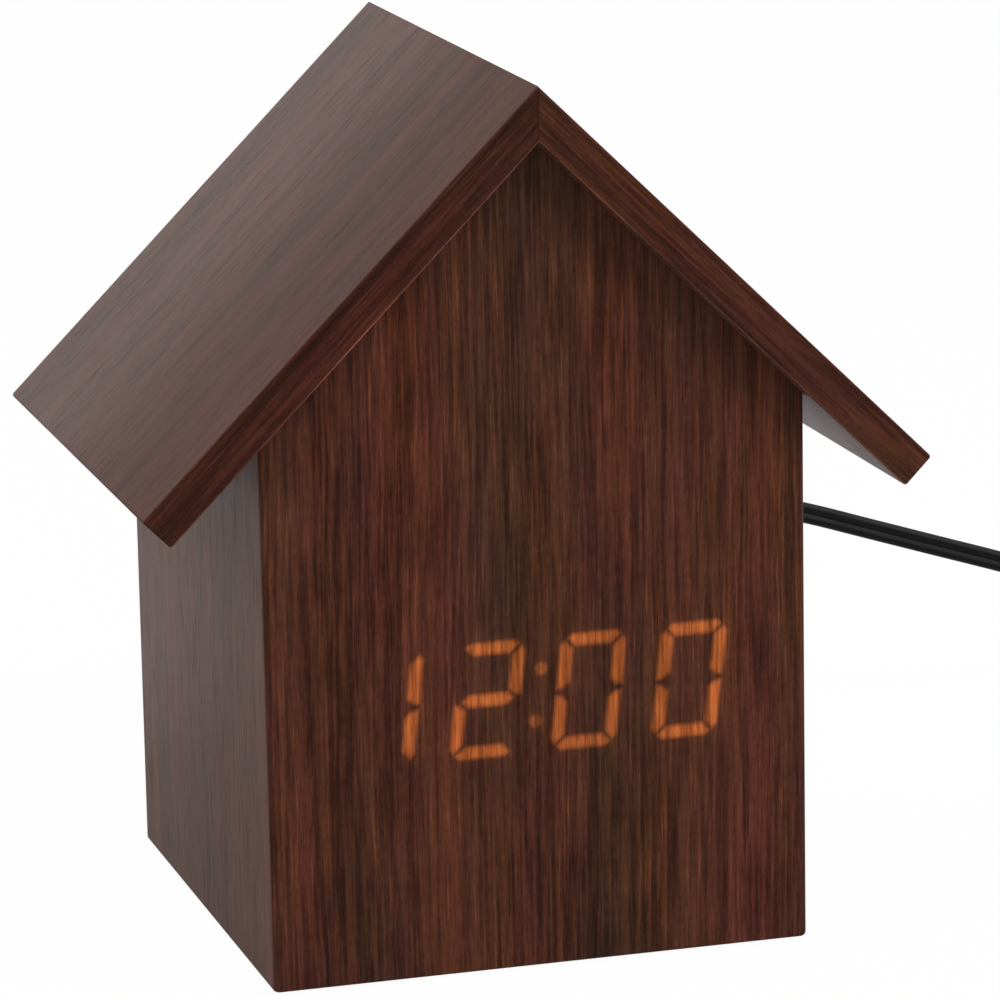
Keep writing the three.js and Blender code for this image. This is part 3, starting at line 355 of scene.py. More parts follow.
def cut_away(bm, point, outward):
    """Removes what lies beyond a plane, and closes the cut."""
    rim = [e for e in split(bm, point, outward, True) if isinstance(e, bmesh.types.BMEdge)]
    if rim:
        bmesh.ops.contextual_create(bm, geom=rim)
    bmesh.ops.recalc_face_normals(bm, faces=bm.faces)


def grow(bm, faces, way):
    """Extrudes faces by a vector."""
    grown = bmesh.ops.extrude_face_region(bm, geom=faces)["geom"]
    moved = [v for v in grown if isinstance(v, bmesh.types.BMVert)]
    bmesh.ops.translate(bm, verts=moved, vec=Vector(way))


AXIS_PLACES = {
    "X": lambda a, b, depth: (depth, a, b),
    "Y": lambda a, b, depth: (a, depth, b),
}


def prism(outline, start, end):
    """Extrudes an outline from start to end along Y."""
    bm = bmesh.new()
    grow(bm, [bm.faces.new([bm.verts.new((a, start, b)) for a, b in outline])], (0, end - start, 0))
    bmesh.ops.recalc_face_normals(bm, faces=bm.faces)
    return bm


def turned(profile, centre, steps=48, arc=5):
    """Spins (radius, y) points and corners about an axis along Y through a centre."""
    bm = bmesh.new()
    points = rounded(profile, arc, closed=False)
    verts = [bm.verts.new((radius, y, 0)) for radius, y in points]
    edges = [bm.edges.new(pair) for pair in zip(verts, verts[1:])]
    bmesh.ops.spin(
        bm, geom=verts + edges, cent=(0, 0, 0), axis=(0, 1, 0), dvec=(0, 0, 0),
        angle=2 * math.pi, steps=steps, use_merge=True, use_duplicate=False,
    )
    bmesh.ops.remove_doubles(bm, verts=bm.verts, dist=SAME_POINT)
    bmesh.ops.dissolve_degenerate(bm, edges=bm.edges, dist=ON_PLANE)
    bmesh.ops.recalc_face_normals(bm, faces=bm.faces)
    bmesh.ops.translate(bm, verts=bm.verts, vec=Vector((centre[0], 0, centre[2])))
    return bm


def flat_plate(outlines, start, end, edge, axis="Y"):
    """A flat plate with holes and rounded edges. The first outline is its rim."""
    curve = bpy.data.curves.new("plate outline", "CURVE")
    curve.dimensions = "2D"
    curve.fill_mode = "BOTH"
    curve.extrude = (end - start) / 2 - edge
    curve.bevel_depth = edge
    curve.bevel_resolution = 1
    curve.offset = -edge
    for outline in outlines:
        spline = curve.splines.new("POLY")
        spline.points.add(len(outline) - 1)
        for point, (a, b) in zip(spline.points, outline):
            point.co = (a, b, 0, 1)
        spline.use_cyclic_u = True
    drawn = bpy.data.objects.new("plate outline", curve)
    bpy.context.scene.collection.objects.link(drawn)
    mesh = bpy.data.meshes.new_from_object(
        drawn.evaluated_get(bpy.context.evaluated_depsgraph_get())
    )
    bm = bmesh.new()
    bm.from_mesh(mesh)
    bpy.data.objects.remove(drawn)
    bpy.data.curves.remove(curve)
    bpy.data.meshes.remove(mesh)
    for vert in bm.verts:
        vert.co = AXIS_PLACES[axis](vert.co.x, vert.co.y, vert.co.z + (start + end) / 2)
    bmesh.ops.remove_doubles(bm, verts=bm.verts, dist=SAME_POINT)
    bmesh.ops.dissolve_limit(
        bm, angle_limit=math.radians(0.5), verts=bm.verts, edges=bm.edges,
        use_dissolve_boundaries=False, delimit={"NORMAL"},
    )
    bmesh.ops.recalc_face_normals(bm, faces=bm.faces)
    return bm


def combine(base, tool, operation):
    """Joins two closed shapes into the first, or cuts the second out of it."""
    solids = []
    for bm in (base, tool):
        mesh = bpy.data.meshes.new("shape")
        bm.to_mesh(mesh)
        bm.free()
        solids.append(bpy.data.objects.new("shape", mesh))
        bpy.context.scene.collection.objects.link(solids[-1])
    modifier = solids[0].modifiers.new("combine", "BOOLEAN")
    modifier.operation = operation
    modifier.object = solids[1]
    modifier.solver = "EXACT"
    made = solids[0].evaluated_get(bpy.context.evaluated_depsgraph_get())
    bm = bmesh.new()
    bm.from_mesh(made.to_mesh())
    made.to_mesh_clear()
    for mesh in [solid.data for solid in solids]:
        # This removes the solid as well
        bpy.data.meshes.remove(mesh)
    if not bm.faces:
        raise RuntimeError("two shapes could not be combined")
    return bm


def append(base, extra):
    """Adds a second shape's shells to the first."""
    mesh = bpy.data.meshes.new("shell")
    extra.to_mesh(mesh)
    extra.free()
    base.from_mesh(mesh)
    bpy.data.meshes.remove(mesh)


def swept(route, section):
    """A closed tube with (across, up) section points at each point of a route, on edge."""
    rows = len(route)
    columns = len(section)
    bm = bmesh.new()
    bmesh.ops.create_grid(bm, x_segments=rows - 1, y_segments=columns, size=1)
    frames = []
    for i, point in enumerate(route):
        tangent = (route[min(i + 1, rows - 1)] - route[max(i - 1, 0)]).normalized()
        across = Vector((0, 0, 1)).cross(tangent).normalized()
        frames.append((point, across, tangent.cross(across)))
    for vert in bm.verts:
        point, across, upward = frames[round((vert.co.x + 1) / 2 * (rows - 1))]
        a, b = section[round((vert.co.y + 1) / 2 * columns) % columns]
        vert.co = point + across * a + upward * b
    bmesh.ops.remove_doubles(bm, verts=bm.verts, dist=SAME_POINT)
    bmesh.ops.holes_fill(bm, edges=[e for e in bm.edges if e.is_boundary], sides=0)
    bmesh.ops.recalc_face_normals(bm, faces=bm.faces)
    return bm


def add_piece(name, bm, finishes, nodes, body="house", angle=35):
    """Makes a piece of a shape, with its finishes, its body and the CAD nodes it stands for."""
    mesh = bpy.data.meshes.new(name)
    bm.to_mesh(mesh)
    bm.free()
    mesh.transform(Matrix.Scale(MM, 4))
    for finish in finishes:
        mesh.materials.append(finish)
    mesh.shade_smooth()
    mesh.set_sharp_from_angle(angle=math.radians(angle))
    piece = bpy.data.objects.new(name, mesh)
    bpy.context.scene.collection.objects.link(piece)
    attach(piece, body)
    if nodes:
        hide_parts(*nodes)


# Shader nodes


class Value:
    """A node's output that can be added, subtracted and multiplied, each time by a new node."""

    def __init__(self, nodes, socket):
        self.nodes = nodes
        self.socket = socket

    def __add__(self, other):
        return self.nodes.math("ADD", self, other)

    def __sub__(self, other):
        return self.nodes.math("SUBTRACT", self, other)

    def __rsub__(self, other):
        return self.nodes.math("SUBTRACT", other, self)

    def __mul__(self, other):
        return self.nodes.math("MULTIPLY", self, other)


class Nodes:
    """Adds nodes to a material or a group, and joins them."""

    def __init__(self, tree):
        self.tree = tree

    def join(self, node, inputs):
        """Sets a node's inputs, or links them where a value comes from another node."""
        for key, value in inputs.items():
            if isinstance(value, Value):
                self.tree.links.new(value.socket, node.inputs[key])
            else:
                node.inputs[key].default_value = value

    def add(self, kind, inputs=None, **options):
        node = self.tree.nodes.new(kind)
        for option, value in options.items():
            setattr(node, option, value)
        self.join(node, inputs or {})
        return node

    def value(self, kind, inputs=None, output=0, **options):
        """One output of a new node."""
        return Value(self, self.add(kind, inputs, **options).outputs[output])

    def math(self, operation, *values):
        return self.value("ShaderNodeMath", dict(enumerate(values)), operation=operation)

    def shift(self, a, b):
        return self.value("ShaderNodeVectorMath", {0: a, 1: b}, operation="ADD")

    def scaled(self, vector, scale):
        inputs = {0: vector, "Scale": scale}
        return self.value("ShaderNodeVectorMath", inputs, operation="SCALE")

    def mix(self, factor, a, b, blend="MIX"):
        inputs = {0: factor, 6: a, 7: b}
        return self.value("ShaderNodeMix", inputs, 2, data_type="RGBA", blend_type=blend)

    def times(self, a, b):
        return self.mix(1.0, a, b, "MULTIPLY")

    def noise(self, vector, detail=2.0, roughness=0.5, scale=1.0):
        inputs = {"Vector": vector, "Scale": scale, "Detail": detail, "Roughness": roughness}
        return self.value("ShaderNodeTexNoise", inputs)

    def ramp(self, value, start, end, to_min=0.0, to_max=1.0, kind="SMOOTHSTEP"):
        inputs = {0: value, 1: start, 2: end, 3: to_min, 4: to_max}
        return self.value("ShaderNodeMapRange", inputs, interpolation_type=kind)

    def line(self, value, start, end, to_min=0.0, to_max=1.0):
        return self.ramp(value, start, end, to_min, to_max, "LINEAR")

    def mapping(self, vector, scale=(1, 1, 1), rotation=(0, 0, 0)):
        inputs = {"Vector": vector, "Rotation": rotation, "Scale": scale}
        return self.value("ShaderNodeMapping", inputs)

    def place(self):
        """The point's place on the object, in metres."""
        return self.value("ShaderNodeTexCoord", output="Object")

    def part(self, vector, axis):
        return self.value("ShaderNodeSeparateXYZ", {0: vector}, axis)

    def group(self, group, inputs):
        """The outputs of a group, by name."""
        node = self.add("ShaderNodeGroup", inputs, node_tree=group)
        return {output.name: Value(self, output) for output in node.outputs}

    def surface(self, shader, color, roughness, height, strength, distance):
        """Gives a surface shader its colour, its roughness and its bumps."""
        inputs = {"Strength": strength, "Distance": distance, "Height": height}
        bump = self.value("ShaderNodeBump", inputs)
        self.join(shader, {"Base Color": color, "Roughness": roughness, "Normal": bump})


def new_group(name, inputs, outputs):
    """A node group with named sockets: its nodes, its inputs and the node at its end."""
    tree = bpy.data.node_groups.new(name, "ShaderNodeTree")
    for side, sockets in (("INPUT", inputs), ("OUTPUT", outputs)):
        for socket, kind in sockets.items():
            tree.interface.new_socket(socket, in_out=side, socket_type=f"NodeSocket{kind}")
    nodes = Nodes(tree)
    start = nodes.add("NodeGroupInput")
    given = {key: Value(nodes, start.outputs[key]) for key in inputs}
    return nodes, given, nodes.add("NodeGroupOutput")


def new_material(name, specular=0.5):
    """An empty material, its nodes and its surface shader."""
    material = bpy.data.materials.new(name)
    material.use_nodes = True
    shader = material.node_tree.nodes["Principled BSDF"]
    shader.inputs["Specular IOR Level"].default_value = specular
    return material, Nodes(material.node_tree), shader


WOOD_COLORS = ("Light", "Dark", "Red", "Olive", "Gold", "Violet", "Pore")


def veneer_grain():
    """The group that draws walnut veneer with its grain along Z."""
    name = "Veneer Grain"
    if name in bpy.data.node_groups:
        return bpy.data.node_groups[name]
    inputs = {"Vector": "Vector", "Seed": "Float", "Fine": "Float", "Broad": "Float"}
    inputs.update(dict.fromkeys(WOOD_COLORS, "Color"))
    outputs = {"Color": "Color", "Tone": "Float", "Roughness": "Float", "Height": "Float"}
    nodes, given, end = new_group(name, inputs, outputs)
    place = nodes.shift(given["Vector"], nodes.scaled((0.173, 0.291, 0.407), given["Seed"]))
    sway = nodes.noise(nodes.mapping(place, (16, 16, 6))) * 0.004 - 0.002
    place = nodes.shift(place, nodes.value("ShaderNodeCombineXYZ", {0: sway, 1: sway}))

    def grain(across, along, detail=2.0, roughness=0.5):
        return nodes.noise(nodes.mapping(place, (across, across, along)), detail, roughness)

    bands = grain(62, 3)
    mottle = grain(150, 90, 3, 0.7)
    streaks = grain(330, 20, 2, 0.6)
    lines = grain(1050, 34, 3, 0.65)
    fibres = grain(2700, 110)
    clouds = grain(900, 480, 2, 0.7)
    flecks = grain(2600, 800, 1)
    broad = bands * 0.23 + mottle * 0.17 + streaks * 0.12 - 0.26
    fine = nodes.ramp(lines, 0.34, 0.66) * 0.165 + nodes.ramp(fibres, 0.34, 0.66) * 0.085
    fine = fine + clouds * 0.11 - 0.18
    tone = nodes.line(broad * given["Broad"] + fine * given["Fine"] + 0.5, 0.37, 0.63)
    tint = nodes.mix(tone, given["Dark"], given["Light"])
    warmth = nodes.line(grain(95, 9, 3), 0.32, 0.68)
    tint = nodes.times(tint, nodes.mix(warmth, given["Olive"], given["Red"]))
    depth = nodes.line(grain(160, 16, 3), 0.32, 0.68)
    tint = nodes.times(tint, nodes.mix(depth, given["Violet"], given["Gold"]))
    pores = nodes.ramp(fibres + nodes.line(lines, 0.35, 0.65, 0.1, -0.02), 0.58, 0.72)
    gashes = nodes.ramp(grain(1500, 60, 1), 0.64, 0.74, 0.0, 0.7)
    pores = nodes.math("MAXIMUM", pores, gashes)
    tint = nodes.mix(pores * 0.33 * given["Fine"], tint, given["Pore"])
    # Painted sheen: fine lighter lines that stand in for glints of the lacquer along the grain
    painted_glints = nodes.ramp(grain(2100, 75, 1), 0.54, 0.76, 0.0, 0.55) * given["Fine"]
    tint = nodes.times(tint, nodes.line(flecks, 0.3, 0.7, 0.88, 1.12) + painted_glints)
    nodes.join(end, {
        "Color": tint,
        "Tone": tone,
        "Roughness": pores * 0.12 + flecks * 0.12 + 0.36,
        "Height": lines - pores * 0.7,
    })
    return nodes.tree


def moulded_surface():
    """The group that draws the fine skin and the handling marks of moulded parts."""
    name = "Moulded Surface"
    if name in bpy.data.node_groups:
        return bpy.data.node_groups[name]
    inputs = {"Vector": "Vector", "Color": "Color", "Roughness": "Float", "Grain": "Float"}
    outputs = {"Color": "Color", "Roughness": "Float", "Height": "Float"}
    nodes, given, end = new_group(name, inputs, outputs)
    skin = nodes.noise(nodes.scaled(given["Vector"], given["Grain"]), 3, 0.6)
    marks = nodes.noise(nodes.mapping(given["Vector"], (90, 140, 70)), 4, 0.65)
    marks = nodes.ramp(marks, 0.42, 0.66)
    nodes.join(end, {
        "Color": nodes.times(given["Color"], skin * 0.5 + marks * 0.16 + 0.75),
        "Roughness": given["Roughness"] + marks * 0.12 + skin * 0.08,
        "Height": skin,
    })
    return nodes.tree


def seven_segments():
    """The group that gives how deep a point lies in a digit's lit segments, in mm."""
    name = "Seven Segments"
    if name in bpy.data.node_groups:
        return bpy.data.node_groups[name]
    display = in_mm("display")
    inputs = dict.fromkeys(("Across", "Up", *"ABCDEFG"), "Float")
    nodes, given, end = new_group(name, inputs, {"Depth": "Float"})
    half_width = display.digit_width / 2
    thick = display.segment
    gap = display.gap
    rest = display.middle_gap / 2
    diagonal = math.sqrt(0.5)
    side = nodes.math("ABSOLUTE", given["Across"])
    rise = nodes.math("ABSOLUTE", given["Up"])
    edge_side = half_width - side
    edge_rise = display.digit_height / 2 - rise
    mitre = (edge_side - edge_rise) * diagonal
    right = nodes.math("GREATER_THAN", given["Across"], 0.0)
    upper = nodes.math("GREATER_THAN", given["Up"], 0.0)

    def least(*values):
        result = values[0]
        for value in values[1:]:
            result = nodes.math("SMOOTH_MIN", result, value, display.rounding)
        return result

    def choose(factor, low_value, high_value):
        inputs = {0: factor, 2: low_value, 3: high_value}
        return nodes.value("ShaderNodeMix", inputs, data_type="FLOAT")

    def lit(depth, factor):
        return depth - (40.0 - factor * 40.0)

    corner = (edge_side + edge_rise - thick * 0.85) * diagonal
    bar = least(edge_rise, thick - edge_rise, mitre - gap / 2, corner)
    blunt = (rise - rest + side - (half_width - thick / 2)) * diagonal
    post = least(edge_side, thick - edge_side, -gap / 2 - mitre, rise - rest, blunt, corner)
    reach = half_width - thick / 2 + rest - gap * math.sqrt(2)
    bridge = least(thick / 2 - rise, (reach - side - rise) * diagonal)
    bar_lit = choose(upper, given["D"], given["A"])
    right_lit = choose(upper, given["C"], given["B"])
    left_lit = choose(upper, given["E"], given["F"])
    depth = nodes.math("MAXIMUM", lit(bar, bar_lit), lit(post, choose(right, left_lit, right_lit)))
    nodes.join(end, {"Depth": nodes.math("MAXIMUM", depth, lit(bridge, given["G"]))})
    return nodes.tree


SEGMENTS = ("ABCDEF", "BC", "ABDEG", "ABCDG", "BCFG", "ACDFG", "ACDEFG", "ABC", "ABCDEFG", "ABCDFG")


def digit_depth(nodes, place):
    """How deep a point lies in the lit digits and in the colon's dots, in mm."""
    display = in_mm("display")
    slant = math.tan(display.slant)
    turn = math.tan(display.turn)
    level_x = nodes.part(place, "X") * (1 / MM) - display.shift
    level_z = nodes.part(place, "Z") * (1 / MM) - display.height
    up = level_x * -turn + level_z
    upright = level_z * turn + level_x
    across = up * -slant + upright
    shown = (display.hours // 10, display.hours % 10, display.minutes // 10, display.minutes % 10)
    depth = None
    for i, digit in enumerate(shown):
        inputs = {letter: float(letter in SEGMENTS[digit]) for letter in "ABCDEFG"}
        inputs["Across"] = across - middle(f"digit_diffuser_{i + 1}").x * display.spread
        inputs["Up"] = up
        made = nodes.group(seven_segments(), inputs)["Depth"]
        depth = nodes.math("MAXIMUM", depth, made) if depth else made
    half = display.dot_spacing / 2
    rise = nodes.math("ABSOLUTE", up) - half
    from_dot = upright - nodes.math("SIGN", up) * (half * slant)
    far = nodes.math("SQRT", rise * rise + from_dot * from_dot)
    return depth, display.dot_radius - far


def veneer(
    name, seed, rotation=(0, 0, 0), tint=(1, 1, 1), gloss=0.06, fine=1.0, broad=1.0, lit=False,
):
    """Walnut veneer with its grain turned, its colour tinted, and maybe the digits' glow with a
    painted shade that darkens the sheet towards its top.
    """
    if name in bpy.data.materials:
        return bpy.data.materials[name]
    wood = settings("wood")
    material, nodes, shader = new_material(name, gloss)
    place = nodes.place()
    inputs = {key: tuple(getattr(wood, key.lower())) for key in WOOD_COLORS}
    inputs["Vector"] = nodes.mapping(place, rotation=rotation)
    inputs.update(Seed=seed, Fine=fine, Broad=broad)
    grain = nodes.group(veneer_grain(), inputs)
    shade = nodes.times(grain["Color"], (*tint, 1))
    if lit:
        # Painted shade: lighter at the foot and darker at the top, for the shade under the roof and
        # the light from the floor
        shade = nodes.times(shade, nodes.line(nodes.part(place, "Z"), 0.0, 0.13, *wood.fade))
        soft = in_mm("display").softness
        depth, dots = digit_depth(nodes, place)
        core = nodes.ramp(depth, -1.1 * soft, 1.1 * soft) * nodes.ramp(depth, 0, 1, 0.8, 1)
        dot = nodes.ramp(dots, -0.8 * soft, 1.2 * soft) * 0.42
        halo = nodes.ramp(nodes.math("MAXIMUM", depth, dots - 0.4), -1.8, 0.2) * 0.035
        shine = nodes.math("MAXIMUM", nodes.math("MAXIMUM", core, dot), halo)
        through = nodes.line(grain["Tone"], 0.0, 1.0, 0.42, 1.1)
        threads = nodes.noise(nodes.mapping(place, (1500, 1500, 110)), 3)
        shine = shine * through * nodes.line(threads, 0.3, 0.7, 0.52, 1.22)
        glow = nodes.mix(shine, (0, 0, 0, 1), tuple(settings("display").glow))
        nodes.join(shader, {"Emission Color": glow, "Emission Strength": 1.0})
    nodes.surface(shader, shade, grain["Roughness"], grain["Height"], 0.35 * fine, 0.00006)
    return material


# Colour, roughness, fineness of the skin, bump, specular level and metalness by name. The
# black plastic's colour is one of the settings
MOULDED = {
    "black moulded plastic": (None, 0.42, 3200, 0.4, 0.3, 0),
    "button plastic": ((0.013, 0.013, 0.0145), 0.3, 5200, 0.15, 0.38, 0),
    "zinc plated steel": ((0.42, 0.42, 0.44), 0.3, 900, 0.05, 0.5, 1),
    # Darker steel for the faces inside the screws' cross recess, a painted shade there
    "dull steel": ((0.07, 0.07, 0.072), 0.5, 900, 0.05, 0.5, 1),
    "nickel plated brass": ((0.45, 0.43, 0.38), 0.26, 700, 0.03, 0.5, 1),
    "foot rubber": ((0.012, 0.012, 0.012), 0.7, 2400, 0.7, 0.5, 0),
    "cord vinyl": ((0.0032, 0.0032, 0.0034), 0.42, 1500, 0.3, 0.14, 0),
    "strap webbing": ((0.012, 0.012, 0.013), 0.75, 5200, 0.9, 0.5, 0),
    "printed marks": ((0.62, 0.62, 0.60), 0.6, 4200, 0.2, 0.5, 0),
    "reflector white": ((0.72, 0.71, 0.67), 0.5, 3000, 0.2, 0.5, 0),
}


def moulded(name):
    """Moulded plastic, rubber or plated metal with a fine skin."""
    if name in bpy.data.materials:
        return bpy.data.materials[name]
    base, roughness, fineness, bump, specular, metal = MOULDED[name]
    base = base or tuple(settings("fittings").plastic)[:3]
    material, nodes, shader = new_material(name, specular)
    skin = nodes.group(moulded_surface(), {
        "Vector": nodes.place(), "Color": (*base, 1), "Roughness": roughness, "Grain": fineness,
    })
    shader.inputs["Metallic"].default_value = metal
    nodes.surface(shader, skin["Color"], skin["Roughness"], skin["Height"], bump, 0.00005)
    return material


def ribbon_material(centre_x, half):
    """Grey ribbon cable with one red edge, for a ribbon about a place in mm."""
    material, nodes, shader = new_material("ribbon cable", 0.45)
    place = nodes.place()
    start = (centre_x - half + 1.1) * MM
    edge = nodes.ramp(nodes.part(place, "X"), start, start + 0.1 * MM, 1.0, 0.0)
    skin = nodes.group(moulded_surface(), {
        "Vector": place, "Color": (0.42, 0.42, 0.43, 1), "Roughness": 0.42, "Grain": 1800,
    })
    tint = nodes.mix(edge, skin["Color"], (0.35, 0.02, 0.02, 1))
    nodes.surface(shader, tint, skin["Roughness"], skin["Height"], 0.2, 0.00005)
    return material


def fibreboard_material():
    """Fibreboard: pressed brown fibres in short specks."""
    material, nodes, shader = new_material("fibreboard", 0.2)
    place = nodes.place()
    fibres = nodes.noise(nodes.mapping(place, (1400, 1400, 700)), 4, 0.7)
    clouds = nodes.noise(place, 3, scale=60)
    tone = nodes.ramp(clouds * 0.4 + fibres, 0.45, 0.95)
    tint = nodes.mix(tone, (0.13, 0.075, 0.038, 1), (0.36, 0.24, 0.13, 1))
    nodes.surface(shader, tint, nodes.ramp(fibres, 0.3, 0.7, 0.8, 0.95), fibres, 0.5, 0.0001)
    return material


def pine_material():
    """Pine with early and late wood along its length."""
    material, nodes, shader = new_material("pine", 0.25)
    place = nodes.place()
    bend = nodes.noise(nodes.mapping(place, (20, 20, 6))) * 0.01
    across = nodes.part(place, "X") + nodes.part(place, "Y") * 0.35 + bend
    late = nodes.ramp(nodes.math("SINE", across * 2600), -0.2, 1.0)
    fibre = nodes.noise(nodes.mapping(place, (1800, 1800, 40)), 3)
    tint = nodes.mix(late, (0.52, 0.33, 0.17, 1), (0.36, 0.18, 0.075, 1))
    tint = nodes.mix(nodes.ramp(fibre, 0.3, 0.75, 0.0, 0.35), tint, (0.26, 0.14, 0.06, 1))
    nodes.surface(shader, tint, nodes.ramp(fibre, 0.3, 0.7, 0.6, 0.8), fibre, 0.3, 0.0001)
    return material


def circuit_material():
    """Green solder mask over copper tracks."""
    material, nodes, shader = new_material("circuit board")
    place = nodes.place()
    black, white = (0, 0, 0, 1), (1, 1, 1, 1)
    tracks = nodes.value("ShaderNodeTexBrick", {
        "Vector": nodes.mapping(place, rotation=(math.pi / 2, 0, 0)), "Scale": 160.0,
        "Mortar Size": 0.06, "Mortar Smooth": 0.2, "Color1": black, "Color2": black,
        "Mortar": white,
    }, "Fac")
    fibre = nodes.noise(nodes.mapping(place, (900, 900, 900)), 3)
    tint = nodes.mix(fibre, (0.010, 0.072, 0.024, 1), (0.016, 0.105, 0.036, 1))
    tint = nodes.mix(tracks * 0.7, tint, (0.035, 0.17, 0.055, 1))
    nodes.surface(shader, tint, nodes.ramp(fibre, 0.3, 0.7, 0.3, 0.42), tracks, 0.4, 0.00006)
    return material


def resin_material():
    """Cloudy amber resin that fills the display's wells."""
    material, nodes, shader = new_material("amber resin")
    clouds = nodes.noise(nodes.place(), 3, scale=420)
    tint = nodes.mix(clouds, (0.62, 0.22, 0.035, 1), (0.85, 0.40, 0.10, 1))
    glow = nodes.mix(clouds, (0.3, 0.07, 0.01, 1), (0.5, 0.14, 0.02, 1))
    nodes.join(shader, {"Emission Color": glow, "Emission Strength": 0.6})
    nodes.surface(shader, tint, nodes.ramp(clouds, 0.3, 0.7, 0.25, 0.45), clouds, 0.1, 0.00005)
    return material


# Pieces


class CLOCK_OT_camera(bpy.types.Operator):
    """Adds the camera at the photograph's angle."""

    bl_idname = "house_clock.camera"
    bl_label = "Camera"

    def execute(self, context):
        view = settings("camera")
        data = bpy.data.cameras.new("camera")
        data.lens = view.lens
        data.sensor_fit = "HORIZONTAL"
        data.sensor_width = 36
        data.clip_start = 0.01
        data.clip_end = 50
        camera = bpy.data.objects.new("camera", data)
        camera.matrix_world = (
            Matrix.Translation(view.location)
            @ Matrix.Rotation(-view.turn, 4, "Z")
            @ Matrix.Rotation(math.pi / 2 - view.tilt, 4, "X")
            @ Matrix.Rotation(view.roll, 4, "Z")
        )
        context.scene.collection.objects.link(camera)
        context.scene.camera = camera
        return {"FINISHED"}


# The lead's route in the open, in mm: out of the sleeve, round to the right, down to the
# surface past the house, and to the coil
LEAD_ROUTE = (
    (25.5, 67.8, 54), (25.5, 69.6, 54), (25.5, 75, 53.95), (27, 82.2, 53.75), (31, 88, 53.3),
    (37, 91.8, 52.6), (44, 93, 51.7), (56, 93, 49.9), (70, 93, 47.2), (84, 93, 44),
    (97.5, 93, 40.4), (111, 93, 36), (125, 93, 31.4), (138.4, 93, 27), (150, 92.6, 23),
    (162, 89.6, 18.6), (172, 83, 14.4), (178.6, 73, 10.6), (181, 61, 7.4), (181, 48, 4.9),
    (181, 37, 3.5), (181, 30, 3.05), (181, 24.7, 3), (181, 22.4, 3),
)
COIL_CENTRE = (150, 20)
COIL_FLOOR = 3
COIL_LOOPS_IN = 4
COIL_LOOPS_OUT = 3.5
COIL_STEPS = 60
TAIL_ROUTE = (
    (179.6, 17.6, 8), (179.6, 15.3, 8), (179.6, 10.5, 8), (179.6, 3.3, 11),
    (179.6, -3.9, 14), (179.6, -8.7, 14), (179.6, -10.6, 14),
)


def coil_route(lead):
    """Points round the coil: in on the surface, up a layer, and out again."""
    pitch = lead.coil_pitch
    inner = lead.coil_radius - pitch * COIL_LOOPS_IN
    steps_in = COIL_LOOPS_IN * COIL_STEPS
    stations = [(inner + pitch * i / COIL_STEPS, 0) for i in range(steps_in, -1, -1)]
    climb = COIL_STEPS // 2
    for i in range(1, climb + 1):
        turn = math.pi * i / climb
        radius = inner - 0.7 * pitch * math.sin(turn)
        stations.append((radius, lead.coil_rise * (1 - math.cos(turn)) / 2))
    for i in range(1, round(COIL_LOOPS_OUT * COIL_STEPS) + 1):
        stations.append((inner + pitch * i / COIL_STEPS, lead.coil_rise))
    route = []
    for i, (radius, rise) in enumerate(stations):
        turn = 2 * math.pi * i / COIL_STEPS
        x = COIL_CENTRE[0] + radius * math.cos(turn)
        y = COIL_CENTRE[1] - radius * math.sin(turn)
        route.append(Vector((x, y, COIL_FLOOR + rise)))
    return route


def lead_route():
    """Evenly spaced points along the lead outside the house."""
    lead = in_mm("lead")
    route = smooth_route(LEAD_ROUTE) + coil_route(lead)[1:] + smooth_route(TAIL_ROUTE)
    return evenly(route, lead.ring_step)


def twin_section(steps=9):
    """The outline of the lead's two round strands side by side, joined by a web."""
    lead = in_mm("lead")
    radius = lead.thickness / 2
    centre = lead.width / 2 - radius
    first = -math.acos(min(1.0, lead.waist * 1.12 / lead.thickness))
    points = []
    for side in (1, -1):
        for i in range(steps + 1):
            turn = first + (math.pi - 2 * first) * i / steps
            across = side * radius * math.cos(turn)
            points.append((across, side * (centre + radius * math.sin(turn))))
        points.append((-side * lead.waist / 2, 0))
    return points


class CLOCK_OT_lead(bpy.types.Operator):
    """Makes the flat twin lead from the sleeve through its coil to the adapter."""

    bl_idname = "house_clock.lead"
    bl_label = "Lead"

    def execute(self, context):
        nodes = ("cord_lead", "cord_coil", "cord_tail")
        tube = swept(lead_route(), twin_section())
        add_piece("flat_twin_lead", tube, [moulded("cord vinyl")], nodes)
        return {"FINISHED"}


class CLOCK_OT_lead_tie(bpy.types.Operator):
    """Makes the strap that holds the coil."""

    bl_idname = "house_clock.lead_tie"
    bl_label = "Lead tie"

    def execute(self, context):
        start, end, centre = low("cord_tie"), high("cord_tie"), middle("cord_tie")
        half = (end - start) / 2
        thickness = 0.5
        corner = 1.5
        edge = 0.12
        rim = rectangle(centre.y, centre.z, half.y, half.z, corner)
        inside = (half.y - thickness, half.z - thickness, corner - thickness)
        hole = rectangle(centre.y, centre.z, *inside)
        strap = flat_plate([rim, hole], start.x, end.x, edge, axis="X")
        tab = block(
            (start.x + 0.1, centre.y - 2, end.z - 0.1),
            (end.x - 0.1, end.y - 1.2, end.z + 0.45),
        )
        bevel(tab, tab.edges, edge)
        append(strap, tab)
        add_piece("lead_strap", strap, [moulded("strap webbing")], ["cord_tie"])
        return {"FINISHED"}


